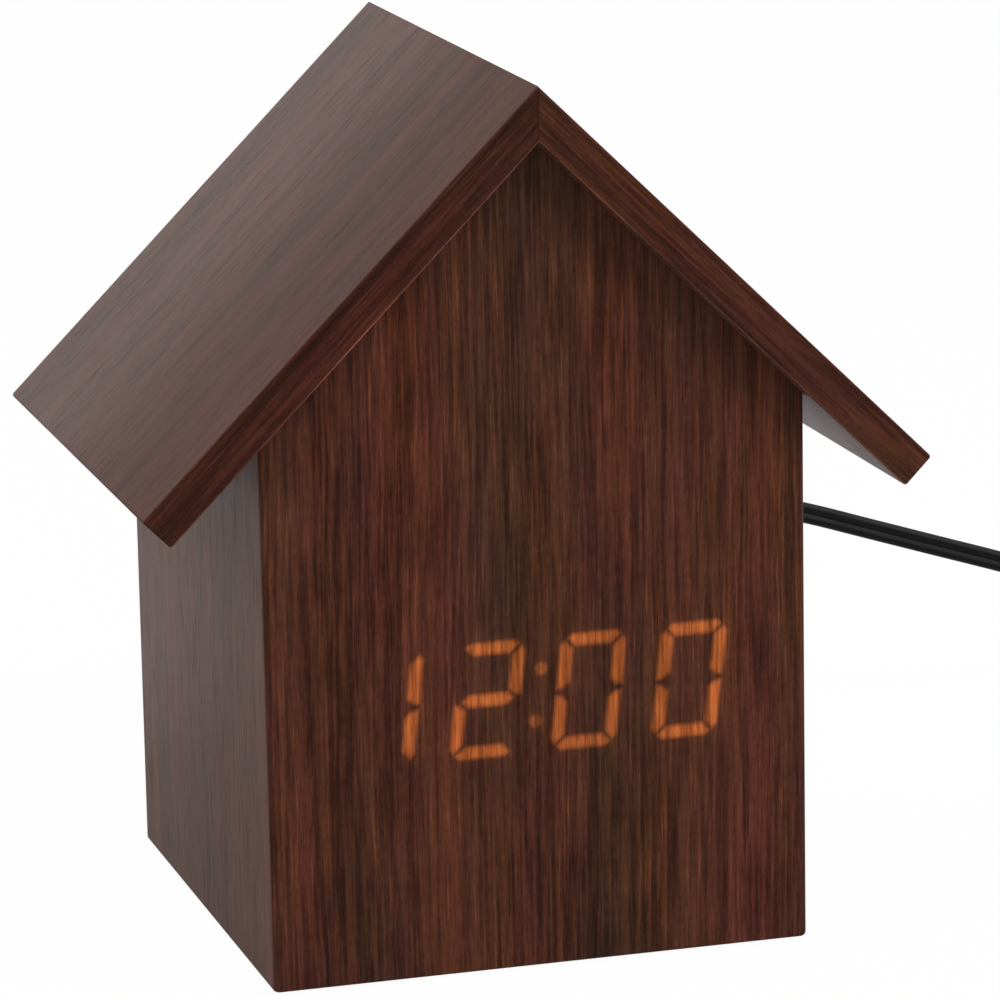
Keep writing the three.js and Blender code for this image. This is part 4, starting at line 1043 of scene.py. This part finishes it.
class CLOCK_OT_strain_relief(bpy.types.Operator):
    """Makes the ringed sleeve through which the lead leaves the back."""

    bl_idname = "house_clock.strain_relief"
    bl_label = "Strain relief"

    def execute(self, context):
        start, end = low("strain_relief"), high("strain_relief")
        panel_in = low("back_panel").y - 0.1
        panel_out = high("back_panel").y + 0.05
        sleeve = high("back_panel").y + 2.3
        inner_flange = 5.4
        outer_flange = (end.x - start.x) / 2
        neck = 4.2
        corner = 0.35
        profile = [
            (0, start.y), (inner_flange, start.y, corner), (inner_flange, panel_in, corner),
            (neck, panel_in), (neck, panel_out), (outer_flange, panel_out),
            (outer_flange, sleeve, 0.6), (4.6, sleeve, 0.25),
        ]
        rings = 5
        ring = (end.y - sleeve) / rings
        for i in range(rings):
            y = sleeve + i * ring
            radius = 4.4 - 1.4 * i / rings
            groove = radius - 0.55
            shoulder = y + ring * 0.55
            profile += [
                (radius, y + 0.25, 0.25), (radius, shoulder, 0.25), (groove, shoulder + 0.15, 0.2),
                (groove, y + ring, 0.2 if i < rings - 1 else 0.3),
            ]
        shape = turned([*profile, (0, end.y)], middle("strain_relief"), 56, 3)
        add_piece("lead_sleeve", shape, [moulded("cord vinyl")], ["strain_relief"])
        return {"FINISHED"}


class CLOCK_OT_adapter(bpy.types.Operator):
    """Makes the plug-in adapter with its sleeve and its two pins."""

    bl_idname = "house_clock.adapter"
    bl_label = "Adapter"

    def execute(self, context):
        self.add_shell()
        for node, name in (("adapter_pin_1", "plug_pin_1"), ("adapter_pin_2", "plug_pin_2")):
            tip, root = low(node), high(node)
            radius = (root.x - tip.x) / 2
            profile = [
                (0, tip.y), (radius, tip.y, 1.3), (radius, tip.y + 9), (radius, root.y),
                (0, root.y),
            ]
            pin = turned(profile, middle(node), 32)
            add_piece(name, pin, [moulded("nickel plated brass")], [node])
        self.add_sleeve("adapter_strain_relief")
        return {"FINISHED"}

    def add_shell(self):
        fittings = in_mm("fittings")
        node = "adapter_case"
        start, end, centre = low(node), high(node), middle(node)
        half = (end - start) / 2
        nose_length = 4
        case_y = start.y + nose_length
        rim = rectangle(centre.x, centre.z, half.x, half.z, fittings.adapter_corner, 8)
        case = prism(rim, case_y, end.y)
        bevel(case, sharp_edges(case), fittings.adapter_edge, 4)
        for offset in (-0.25, 0.0, 0.25):
            split(case, (0, 0, centre.z + offset), (0, 0, 1))
        case.normal_update()
        for vert in case.verts:
            if abs(vert.co.z - centre.z) < NEAR:
                vert.co -= Vector((vert.normal.x, vert.normal.y, 0)) * fittings.seam_depth
        nose = prism(rectangle(centre.x, centre.z, 16.5, 6.5, 6.2, 8), start.y, case_y + 1)
        rim = [e for e in sharp_edges(nose) if all(v.co.y < start.y + NEAR for v in e.verts)]
        bevel(nose, rim, 0.7, 3)
        hole = 2.2
        outside = start.y - 1
        bottom = start.y + 3
        for side in (1, 2):
            profile = [(0, outside), (hole, outside), (hole, bottom), (0, bottom)]
            socket = turned(profile, middle(f"adapter_pin_{side}"), 32)
            nose = combine(nose, socket, "DIFFERENCE")
        append(case, nose)
        finish = moulded("black moulded plastic")
        add_piece("adapter_shell", case, [finish], [node])

    def add_sleeve(self, node):
        start, end = low(node), high(node)
        root = (end.x - start.x) / 2
        neck = 2.6
        profile = [(0, start.y), (root, start.y)]
        for i in range(4):
            share = 0.12 + 0.19 * i
            radius = root + (neck - root) * share
            groove = radius - 0.4
            y = start.y + (end.y - start.y) * share
            profile += [
                (radius, y, 0.2), (groove, y + 0.1, 0.15), (groove, y + 1.0, 0.15),
                (radius - 0.15, y + 1.1, 0.2),
            ]
        shape = turned([*profile, (2.55, end.y, 0.2), (0, end.y)], middle(node), 40, 3)
        add_piece("adapter_sleeve", shape, [moulded("cord vinyl")], [node])


class CLOCK_OT_declare_lead(bpy.types.Operator):
    """Works out the lead's route in metres, and keeps nothing of it."""

    bl_idname = "house_clock.declare_lead"
    bl_label = "Declare lead"

    def execute(self, context):
        lead = settings("lead")
        [tuple(point * MM) for point in lead_route()]
        return {"FINISHED"}


def ridge_height():
    """Height at which the undersides of the two roof boards meet."""
    return high("front_veneer").z + GLUE_GAP / math.cos(settings("wood").roof_pitch)


def house_body(cut_y, outward):
    """The body on one side of a depth, with rounded uprights and its top cut to the roof."""
    wood = in_mm("wood")
    start = low("front_veneer")
    half = high("right_wall").x
    bm = block((-half, start.y, start.z), (half, high("right_wall").y, high("front_veneer").z + 5))
    uprights = [e for e in bm.edges if abs(e.verts[0].co.z - e.verts[1].co.z) > NEAR]
    bevel(bm, uprights, wood.upright_radius, 8)
    base = [e for e in bm.edges if all(v.co.z < start.z + NEAR for v in e.verts)]
    bevel(bm, base, wood.base_radius, 4)
    for side in (-1, 1):
        slope = (side * math.sin(wood.roof_pitch), 0, math.cos(wood.roof_pitch))
        cut_away(bm, (0, 0, ridge_height()), slope)
    cut_away(bm, (0, cut_y, 0), (0, outward, 0))
    return bm


class CLOCK_OT_front(bpy.types.Operator):
    """Makes the veneered front that the digits shine through."""

    bl_idname = "house_clock.front"
    bl_label = "Front veneer"

    def execute(self, context):
        sheet = house_body(high("front_veneer").y, 1)
        finish = veneer("walnut front", 8.5, tint=(0.87, 0.86, 0.84), lit=True)
        add_piece("front_sheet", sheet, [finish], ["front_veneer"])
        return {"FINISHED"}


class CLOCK_OT_walls(bpy.types.Operator):
    """Makes the two side walls up to the front sheet and the roof."""

    bl_idname = "house_clock.walls"
    bl_label = "Side walls"

    def execute(self, context):
        for side, name in ((-1, "left"), (1, "right")):
            wall = house_body(high("front_veneer").y, -1)
            cut_away(wall, (side * high("base_board").x, 0, 0), (-side, 0, 0))
            # Painted reflection: the walls' bluish tint stands in for part of the lacquer's
            # reflection seen at a slant
            finish = veneer(
                f"walnut {name} wall", 2.0 + side, tint=(1.03, 1.02, 1.2), gloss=0.11,
                fine=0.4, broad=1.2,
            )
            add_piece(f"side_{name}", wall, [finish], [f"{name}_wall"])
        return {"FINISHED"}


class CLOCK_OT_roof(bpy.types.Operator):
    """Makes the two mitred roof boards with their edge bands."""

    bl_idname = "house_clock.roof"
    bl_label = "Roof boards"

    def execute(self, context):
        for side, name in ((-1, "left"), (1, "right")):
            board = self.board(side, low(f"roof_{name}").y, high(f"roof_{name}").y)
            finishes = self.finishes(side, name)
            node = f"roof_{name}"
            add_piece(f"roof_board_{name}", board, finishes, [node], angle=30)
        return {"FINISHED"}

    def board(self, side, start, end):
        """A board whose faces are numbered by the finish that each takes."""
        wood = in_mm("wood")
        pitch = wood.roof_pitch
        ridge_out = ridge_height() + wood.roof_thickness / math.cos(pitch)
        eave_x = wood.roof_length * math.cos(pitch)
        eave_z = ridge_out - wood.roof_length * math.sin(pitch)
        inner_x = eave_x - wood.roof_thickness * math.sin(pitch)
        mitre = side * 0.03
        board = prism([
            (mitre, ridge_height()),
            (side * inner_x, eave_z - wood.roof_thickness * math.cos(pitch)),
            (side * eave_x, eave_z),
            (mitre, ridge_out),
        ], start, end)
        down = Vector((side * math.cos(pitch), 0, -math.sin(pitch)))
        for face in board.faces:
            if abs(face.normal.y) > 0.9:
                face.material_index = 1
            elif face.normal.dot(down) > 0.9:
                face.material_index = 2
            elif face.normal.z < -0.5:
                face.material_index = 5

        def runs_back(edge):
            return abs(edge.verts[0].co.y - edge.verts[1].co.y) > NEAR

        def reach(edge):
            """How far from the middle an edge's two ends lie, the nearer one first."""
            return sorted(abs(v.co.x) for v in edge.verts)

        eaves = [e for e in board.edges if runs_back(e) and reach(e)[0] > inner_x - NEAR]
        bevel(board, eaves, wood.eave_radius, 5)
        rims = [
            e for e in sharp_edges(board, 50)
            if not runs_back(e) and (reach(e)[0] > 0.1 or reach(e)[1] > 10)
        ]
        bevel(board, rims, wood.board_edge, 2)
        up = Vector((side * math.sin(pitch), 0, math.cos(pitch)))
        for face in board.faces:
            lift = face.normal.dot(up)
            if 0.25 < abs(face.normal.y) < 0.95 and abs(lift) > 0.2:
                # Upward rim bevels take the dark line, downward ones the lip with its painted
                # highlight
                face.material_index = 3 if lift > 0 else 4
        return board

    def finishes(self, side, name):
        """The top, the edge band, the eave, the band's upper line, the lower lip with a painted
        highlight, and the underside with a lighter tint for a painted reflection.
        """
        turn = math.pi / 2 - settings("wood").roof_pitch
        along = (0, side * turn, 0)
        seed = 6.0 + side
        edge = (0.56, 0.51, 0.48) if side < 0 else (0.68, 0.63, 0.62)
        soft = {"fine": 0.35, "broad": 1.1}
        return [
            # Painted reflection: the top's bluish tint stands in for part of the lacquer's
            # reflection
            veneer(f"walnut roof {name}", seed, along, (1.0, 1.0, 1.2), 0.15, **soft),
            veneer(f"walnut edge {name}", seed + 3, along, edge, broad=0.8),
            veneer("walnut eave", 11.0, (math.pi / 2, 0, 0), (0.95, 0.95, 1.0)),
            veneer(f"walnut line {name}", seed, along, (0.6, 0.5, 0.5)),
            # Painted highlight: the lip is tinted lighter and bluish for the light that its rounded
            # edge catches
            veneer(f"walnut lip {name}", seed + 3, along, (1.3, 1.5, 1.75)),
            # Painted reflection: the underside is tinted lighter and bluish for part of the floor's
            # reflection in it
            veneer(f"walnut under {name}", seed + 5, along, (1.1, 1.05, 1.2), 0.66, 0.35, 1.2),
        ]


class CLOCK_OT_back(bpy.types.Operator):
    """Makes the back panel with its openings."""

    bl_idname = "house_clock.back"
    bl_label = "Back panel"

    def execute(self, context):
        start, end = low("back_panel"), high("back_panel")
        shoulder = high("front_veneer").z - end.x * math.tan(settings("wood").roof_pitch)
        rim = [
            (start.x, start.z), (end.x, start.z), (end.x, shoulder), (0, end.z),
            (start.x, shoulder),
        ]
        plate = middle("control_plate")
        relief = middle("strain_relief")
        holes = [rectangle(plate.x, plate.z, 20, 20, 0.6, 3), circle(relief.x, relief.z, 4.35)]
        holes += screw_holes("back_screw", 4, 1.6) + screw_holes("control_plate_screw", 2, 1.2)
        panel = flat_plate([rim, *holes], start.y, end.y, 0.3)
        finish = veneer("walnut back", 21.0, tint=(0.92, 0.9, 0.9))
        add_piece("back_board", panel, [finish], ["back_panel"], angle=20)
        return {"FINISHED"}


def screw_holes(node, count, radius):
    """Outlines of the holes for numbered screws."""
    places = [middle(f"{node}_{i + 1}") for i in range(count)]
    return [circle(place.x, place.z, radius, 24) for place in places]


# Widest head radius, in mm, of the screws that have the smaller shank
SMALL_HEAD = 2.5


def pan_screw(node, name):
    """A pan-head screw with a cross recess, in place of a CAD screw."""
    depth = in_mm("fittings").recess_depth
    start, end, centre = low(node), high(node), middle(node)
    radius = (end.x - start.x) / 2
    head, shank = (1.6, 1.4) if radius > SMALL_HEAD else (1.3, 1.0)
    seat = end.y - head
    profile = [
        (0, start.y), (shank * 0.25, start.y), (shank, start.y + shank * 1.4), (shank, seat, 0.1),
        (radius, seat, 0.15), (radius, seat + head * 0.62, head * 0.5),
        (radius * 0.55, end.y, radius * 0.5), (0, end.y),
    ]
    body = turned(profile, centre, 40)
    arm = radius * 0.58
    half = 0.4
    taper = 0.6
    cross = [
        (-arm, -half), (-half, -half), (-half, -arm), (half, -arm), (half, -half), (arm, -half),
        (arm, half), (half, half), (half, arm), (-half, arm), (-half, half), (-arm, half),
    ]
    tool = prism([(centre.x + a, centre.z + b) for a, b in cross], end.y - depth, end.y + 0.5)
    for vert in tool.verts:
        if vert.co.y < end.y - 0.1:
            vert.co.x = centre.x + (vert.co.x - centre.x) * taper
            vert.co.z = centre.z + (vert.co.z - centre.z) * taper
    body = combine(body, tool, "DIFFERENCE")
    # Painted shade: the faces inside the cross recess take the darker steel, which stands in for
    # their shade
    for face in body.faces:
        place = face.calc_center_median()
        inside = math.hypot(place.x - centre.x, place.z - centre.z) < arm
        if inside and end.y - 2 * depth < place.y < end.y - 0.22:
            face.material_index = 1
    finishes = [moulded("zinc plated steel"), moulded("dull steel")]
    add_piece(name, body, finishes, [node], angle=40)


class CLOCK_OT_screws(bpy.types.Operator):
    """Makes the screws that show on the back."""

    bl_idname = "house_clock.screws"
    bl_label = "Screws"

    def execute(self, context):
        for i in range(1, 5):
            pan_screw(f"back_screw_{i}", f"wood_screw_{i}")
        for i in range(1, 3):
            pan_screw(f"control_plate_screw_{i}", f"plate_screw_{i}")
        return {"FINISHED"}


class CLOCK_OT_feet(bpy.types.Operator):
    """Makes the four rubber feet."""

    bl_idname = "house_clock.feet"
    bl_label = "Feet"

    def execute(self, context):
        for name in ("front_left", "front_right", "rear_left", "rear_right"):
            node = f"foot_{name}"
            start, end, centre = low(node), high(node), middle(node)
            radius = (end.x - start.x) / 2
            profile = [
                (0, start.z + 0.12), (radius * 0.72, start.z, 0.5), (radius, start.z, 0.35),
                (radius, end.z), (0, end.z),
            ]
            pad = turned(profile, (0, 0, 0), 48, 4)
            place = Matrix.Translation((centre.x, centre.y, 0))
            place = place @ Matrix.Rotation(math.pi / 2, 4, "X")
            bmesh.ops.transform(pad, matrix=place, verts=pad.verts)
            add_piece(f"rubber_{node}", pad, [moulded("foot rubber")], [node])
        return {"FINISHED"}


BUTTONS = ("set", "up", "down")


class CLOCK_OT_control_plate(bpy.types.Operator):
    """Makes the control plate with its openings, bosses and printed marks."""

    bl_idname = "house_clock.control_plate"
    bl_label = "Control plate"

    def execute(self, context):
        fittings = in_mm("fittings")
        start, end, centre = low("control_plate"), high("control_plate"), middle("control_plate")
        half = (end - start) / 2
        plate_in = high("back_panel").y + 0.3
        buttons = [middle(f"button_{name}") for name in BUTTONS]
        body = middle("slide_switch_body")
        buzzer = middle("buzzer")
        outlines = [
            rectangle(centre.x, centre.z, half.x, half.z, fittings.plate_corner),
            *(circle(button.x, button.z, 3.3) for button in buttons),
            rectangle(body.x, body.z, 2.75, 1.4, 0.3, 2),
            cap_hole(middle("battery_cap")),
            *(
                circle(buzzer.x + a, buzzer.z + b, 0.8, 20)
                for a, b in ((0, 0), (3, 0), (-3, 0), (0, 3), (0, -3))
            ),
            *screw_holes("control_plate_screw", 2, 1.2),
        ]
        plate = flat_plate(outlines, plate_in, end.y, fittings.soft_edge)
        for i in (1, 2):
            bore, wall, top = 1.1, 2, plate_in + 0.4
            boss = [(bore, start.y), (wall, start.y), (wall, top), (bore, top), (bore, start.y)]
            append(plate, turned(boss, middle(f"control_board_screw_{i}"), 32))
        add_piece(
            "rear_plate", plate, [moulded("black moulded plastic")], ["control_plate"],
            angle=20,
        )
        self.print_marks(end.y)
        return {"FINISHED"}

    def print_marks(self, surface):
        """Small raised marks beside the controls: a dot, two arrows and a ring."""
        bottom = surface - 0.02
        top = surface + 0.1
        above = middle("button_up").z + 5.0
        marks = prism(circle(middle("button_set").x, above, 0.55, 24), bottom, top)
        for name, lift in (("up", 0.7), ("down", -0.7)):
            x = middle(f"button_{name}").x
            arrow = [(x - 0.8, above - lift), (x + 0.8, above - lift), (x, above + lift)]
            append(marks, prism(arrow, bottom, top))
        x = middle("slide_switch_body").x
        ring = [circle(x + 1.3, above, radius, 24) for radius in (0.65, 0.38)]
        append(marks, flat_plate(ring, bottom, top, 0.02))
        append(marks, block((x - 1.9, bottom, above - 0.12), (x - 0.7, top, above + 0.12)))
        add_piece("control_marks", marks, [moulded("printed marks")], [])


def cap_hole(cap):
    """The round hole for the battery cap with a notch at each side, at 45 degrees."""
    radius = 12.0
    reach = 13.6
    half = 2.8
    steps = 30
    edge = math.asin(half / radius)
    points = []
    for base in (0, math.pi):
        for i in range(steps + 1):
            turn = base + edge + (math.pi - 2 * edge) * i / steps
            points.append(Vector((radius * math.cos(turn), radius * math.sin(turn))))
        for sign in (-1, 1):
            points.append(Matrix.Rotation(base + math.pi, 2) @ Vector((reach, sign * half)))
    points = [Matrix.Rotation(math.radians(45), 2) @ point for point in points]
    return [(cap.x + point.x, cap.z + point.y) for point in points]


class CLOCK_OT_buttons(bpy.types.Operator):
    """Makes the three push buttons."""

    bl_idname = "house_clock.buttons"
    bl_label = "Buttons"

    def execute(self, context):
        dish = in_mm("fittings").button_dish
        flange_low = 46.0
        flange_high = 47.0
        head = 3.0
        stem = 1.6
        for name in BUTTONS:
            node = f"button_{name}"
            start, end = low(node), high(node)
            flange = (end.x - start.x) / 2
            profile = [
                (0, start.y), (stem, start.y, 0.3), (stem, flange_low, 0.2),
                (flange, flange_low, 0.15), (flange, flange_high, 0.15),
                (head, flange_high, 0.1), (head, end.y, 0.45), (head * 0.72, end.y, 0.8),
                (head * 0.4, end.y - dish * 0.8, 1.2), (0, end.y - dish),
            ]
            shape = turned(profile, middle(node))
            finish = moulded("button plastic")
            add_piece(
                f"push_{node}", shape, [finish], [node], f"{name}_button",
            )
        return {"FINISHED"}


class CLOCK_OT_alarm_slide(bpy.types.Operator):
    """Makes the alarm's slide knob with its grip ribs."""

    bl_idname = "house_clock.alarm_slide"
    bl_label = "Alarm slide"

    def execute(self, context):
        node = "alarm_slide_knob"
        start, end = low(node), high(node)
        knob = block(start, end)
        long_edges = [e for e in knob.edges if abs(e.verts[0].co.y - e.verts[1].co.y) > NEAR]
        bevel(knob, long_edges, 0.2, 3)
        cuts = 7
        width = (end.x - start.x) / cuts
        for i in range(1, cuts):
            split(knob, (start.x + width * i, 0, 0), (1, 0, 0))
        for left in (start.x + width, start.x + width * 3, start.x + width * 5):
            knob.normal_update()
            strip = [
                f for f in knob.faces
                if f.normal.y > 0.9 and left < f.calc_center_median().x < left + width
            ]
            grow(knob, strip, (0, -0.35, 0))
            bmesh.ops.delete(knob, geom=strip, context="FACES_ONLY")
        bmesh.ops.recalc_face_normals(knob, faces=knob.faces)
        finish = moulded("button plastic")
        add_piece("slide_grip", knob, [finish], [node], "alarm_slide")
        return {"FINISHED"}


class CLOCK_OT_battery_cap(bpy.types.Operator):
    """Makes the battery cap with its lugs and coin slot."""

    bl_idname = "house_clock.battery_cap"
    bl_label = "Battery cap"

    def execute(self, context):
        node = "battery_cap"
        start, end, centre = low(node), high(node), middle(node)
        radius = (end.x - start.x) / 2
        face = end.y - 0.25
        profile = [
            (0, start.y), (radius, start.y, 0.2), (radius, end.y, 0.35),
            (radius - 1.5, end.y, 0.15), (radius - 1.7, face, 0.15), (0, face),
        ]
        cap = turned(profile, centre, 72, 4)
        lugs = rectangle(centre.x, centre.z, 2.4, (end.z - start.z) / 2)
        cap = combine(cap, prism(lugs, start.y, start.y + 1), "UNION")
        slot = rectangle(centre.x, centre.z, 6, 0.8, 0.3, 4)
        cap = combine(cap, prism(slot, end.y - 0.9, end.y + 1), "DIFFERENCE")
        foot = end.y - 0.4
        top = end.y - 0.05
        dot = [(0, foot), (0.55, foot), (0.55, top, 0.15), (0, top)]
        dot = turned(dot, (centre.x, 0, centre.z + 8.2), 24, 3)
        cap = combine(cap, dot, "UNION")
        finish = moulded("button plastic")
        add_piece("cell_cover", cap, [finish], [node], "cell_cap")
        return {"FINISHED"}


class CLOCK_OT_inside_leads(bpy.types.Operator):
    """Makes the ribbon cable and the end of the lead inside the house."""

    bl_idname = "house_clock.inside_leads"
    bl_label = "Inside leads"

    def execute(self, context):
        step = 1.6
        route = [(25.5, 40.6, 54)]
        for i in range(5):
            turn = math.pi * i / 4
            route.append((6 + 9.75 * (1 + math.cos(turn)), 34.4 - 10 * math.sin(turn), 54 - i / 2))
        route.append((6, 39, 52))
        lead = swept(evenly(smooth_route(route), step), twin_section())
        add_piece("inside_lead", lead, [moulded("cord vinyl")], ["inner_lead"])
        start, end = low("ribbon_cable"), high("ribbon_cable")
        centre = middle("ribbon_cable")
        start_z = 48.6
        end_z = 59
        stops = [
            (start.y, start_z), (start.y + 6, start_z), (centre.y, (start_z + end_z) / 2 - 9),
            (end.y - 6, end_z), (end.y, end_z),
        ]
        route = evenly(smooth_route([(centre.x, y, z) for y, z in stops]), step)
        wires = 10
        half = (end.x - start.x) / 2
        upper = [
            (-half + half * i / wires, 0.45 if i % 2 else 0.2) for i in range(2 * wires + 1)
        ]
        ribbon = swept(route, upper + [(a, -b) for a, b in reversed(upper)])
        finish = ribbon_material(centre.x, half)
        add_piece("flat_ribbon", ribbon, [finish], ["ribbon_cable"])
        return {"FINISHED"}


class CLOCK_OT_inside(bpy.types.Operator):
    """Gives the CAD parts that are kept their finishes."""

    bl_idname = "house_clock.inside"
    bl_label = "Inside finishes"

    def execute(self, context):
        finished = (
            (fibreboard_material(), ["front_board"]),
            (veneer("walnut base", 31.0, (0, math.pi / 2, 0)), ["base_board"]),
            (pine_material(), ["ridge_block", "rear_batten_left", "rear_batten_right"]),
            (moulded("reflector white"), ["display_housing"]),
            (resin_material(), ["colon_diffuser", *(f"digit_diffuser_{i}" for i in range(1, 5))]),
            (circuit_material(), ["main_board", "control_board"]),
            (moulded("black moulded plastic"), [
                "driver_chip", "storage_capacitor", "buzzer", "battery_holder",
                *(f"switch_{name}" for name in BUTTONS),
            ]),
            (moulded("zinc plated steel"), [
                "main_board_screw_1", "main_board_screw_2", "control_board_screw_1",
                "control_board_screw_2", "clock_crystal", "slide_switch_body", "coin_cell",
            ]),
        )
        for finish, nodes in finished:
            for node in nodes:
                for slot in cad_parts[node].material_slots:
                    slot.material = finish
        return {"FINISHED"}


class CLOCK_OT_stage(bpy.types.Operator):
    """Adds the white floor, the lamps and the light from all around."""

    bl_idname = "house_clock.stage"
    bl_label = "Stage"

    def execute(self, context):
        stage = settings("stage")
        bm = bmesh.new()
        bmesh.ops.create_grid(bm, x_segments=1, y_segments=1, size=stage.floor_size / 2)
        mesh = bpy.data.meshes.new("floor")
        bm.to_mesh(mesh)
        bm.free()
        mesh.materials.append(self.floor_finish())
        floor = bpy.data.objects.new("floor", mesh)
        context.scene.collection.objects.link(floor)
        self.add_lamp("key lamp", (0.62, -0.68, 1.15), stage.lamp_size, stage.key_power)
        self.add_lamp("left lamp", (-1.0, 0.45, 0.8), stage.lamp_size, stage.left_power)
        self.set_world(stage.fill)
        context.scene.view_settings.view_transform = "Standard"
        return {"FINISHED"}

    def floor_finish(self):
        """White for the camera and for reflections, with the object's shadow left in."""
        material = bpy.data.materials.new("floor white")
        material.use_nodes = True
        tree = material.node_tree
        tree.nodes.remove(tree.nodes["Principled BSDF"])
        nodes = Nodes(tree)
        path = nodes.add("ShaderNodeLightPath").outputs
        camera_share = 0.975
        mirror_share = 0.35
        seen = Value(nodes, path["Is Camera Ray"]) * camera_share
        mirrored = Value(nodes, path["Is Glossy Ray"]) + Value(nodes, path["Is Transmission Ray"])
        matte = nodes.value("ShaderNodeBsdfDiffuse", {"Color": (0.8, 0.8, 0.8, 1)})
        plain = nodes.value("ShaderNodeEmission", {"Color": (1, 1, 1, 1), "Strength": 1.0})
        share = nodes.math("MINIMUM", seen + mirrored * mirror_share, 1.0)
        mixed = nodes.value("ShaderNodeMixShader", {0: share, 1: matte, 2: plain})
        nodes.join(tree.nodes["Material Output"], {"Surface": mixed})
        return material

    def add_lamp(self, name, direction, size, power):
        distance = 1.75
        target = Vector((0, 0, 0.07))
        data = bpy.data.lights.new(name, "AREA")
        data.shape = "DISK"
        data.size = size
        data.energy = power
        lamp = bpy.data.objects.new(name, data)
        lamp.location = target + Vector(direction).normalized() * distance
        lamp.rotation_euler = (target - lamp.location).to_track_quat("-Z", "Y").to_euler()
        bpy.context.scene.collection.objects.link(lamp)

    def set_world(self, fill):
        world = bpy.data.worlds.new("white room")
        world.use_nodes = True
        bpy.context.scene.world = world
        nodes = Nodes(world.node_tree)
        path = nodes.add("ShaderNodeLightPath").outputs
        seen = Value(nodes, path["Is Camera Ray"]) + Value(nodes, path["Is Glossy Ray"])
        seen = seen + Value(nodes, path["Is Transmission Ray"])
        strength = nodes.line(seen, 0.0, 1.0, fill, 1.0)
        background = world.node_tree.nodes["Background"]
        nodes.join(background, {"Color": (1, 1, 1, 1), "Strength": strength})


OPERATORS = (
    CLOCK_OT_camera, CLOCK_OT_lead, CLOCK_OT_lead_tie, CLOCK_OT_strain_relief,
    CLOCK_OT_adapter, CLOCK_OT_declare_lead, CLOCK_OT_front, CLOCK_OT_walls, CLOCK_OT_roof,
    CLOCK_OT_back, CLOCK_OT_screws, CLOCK_OT_feet, CLOCK_OT_control_plate,
    CLOCK_OT_buttons, CLOCK_OT_alarm_slide, CLOCK_OT_battery_cap, CLOCK_OT_inside_leads,
    CLOCK_OT_inside, CLOCK_OT_stage,
)


class CLOCK_PT_panel(bpy.types.Panel):
    """Lists the clock's settings and the operators that make its pieces."""

    bl_idname = "CLOCK_PT_panel"
    bl_label = "House Clock"
    bl_space_type = "VIEW_3D"
    bl_region_type = "UI"
    bl_category = "House Clock"

    def draw(self, context):
        for group in ClockSettings.__annotations__:
            box = self.layout.box()
            box.label(text=group.capitalize())
            for name in settings(group).__annotations__:
                box.prop(settings(group), name)
        for operator in OPERATORS:
            self.layout.operator(operator.bl_idname)


CLASSES = (
    CameraSettings, WoodSettings, DisplaySettings, LeadSettings, FittingSettings,
    StageSettings, ClockSettings, *OPERATORS, CLOCK_PT_panel,
)


def register():
    for item in CLASSES:
        bpy.utils.register_class(item)
    bpy.types.Scene.house_clock = bpy.props.PointerProperty(type=ClockSettings)


def unregister():
    del bpy.types.Scene.house_clock
    for item in reversed(CLASSES):
        bpy.utils.unregister_class(item)


def main():
    register()
    for operator in OPERATORS:
        group, name = operator.bl_idname.split(".")
        getattr(getattr(bpy.ops, group), name)()


if __name__ == "__main__":
    main()
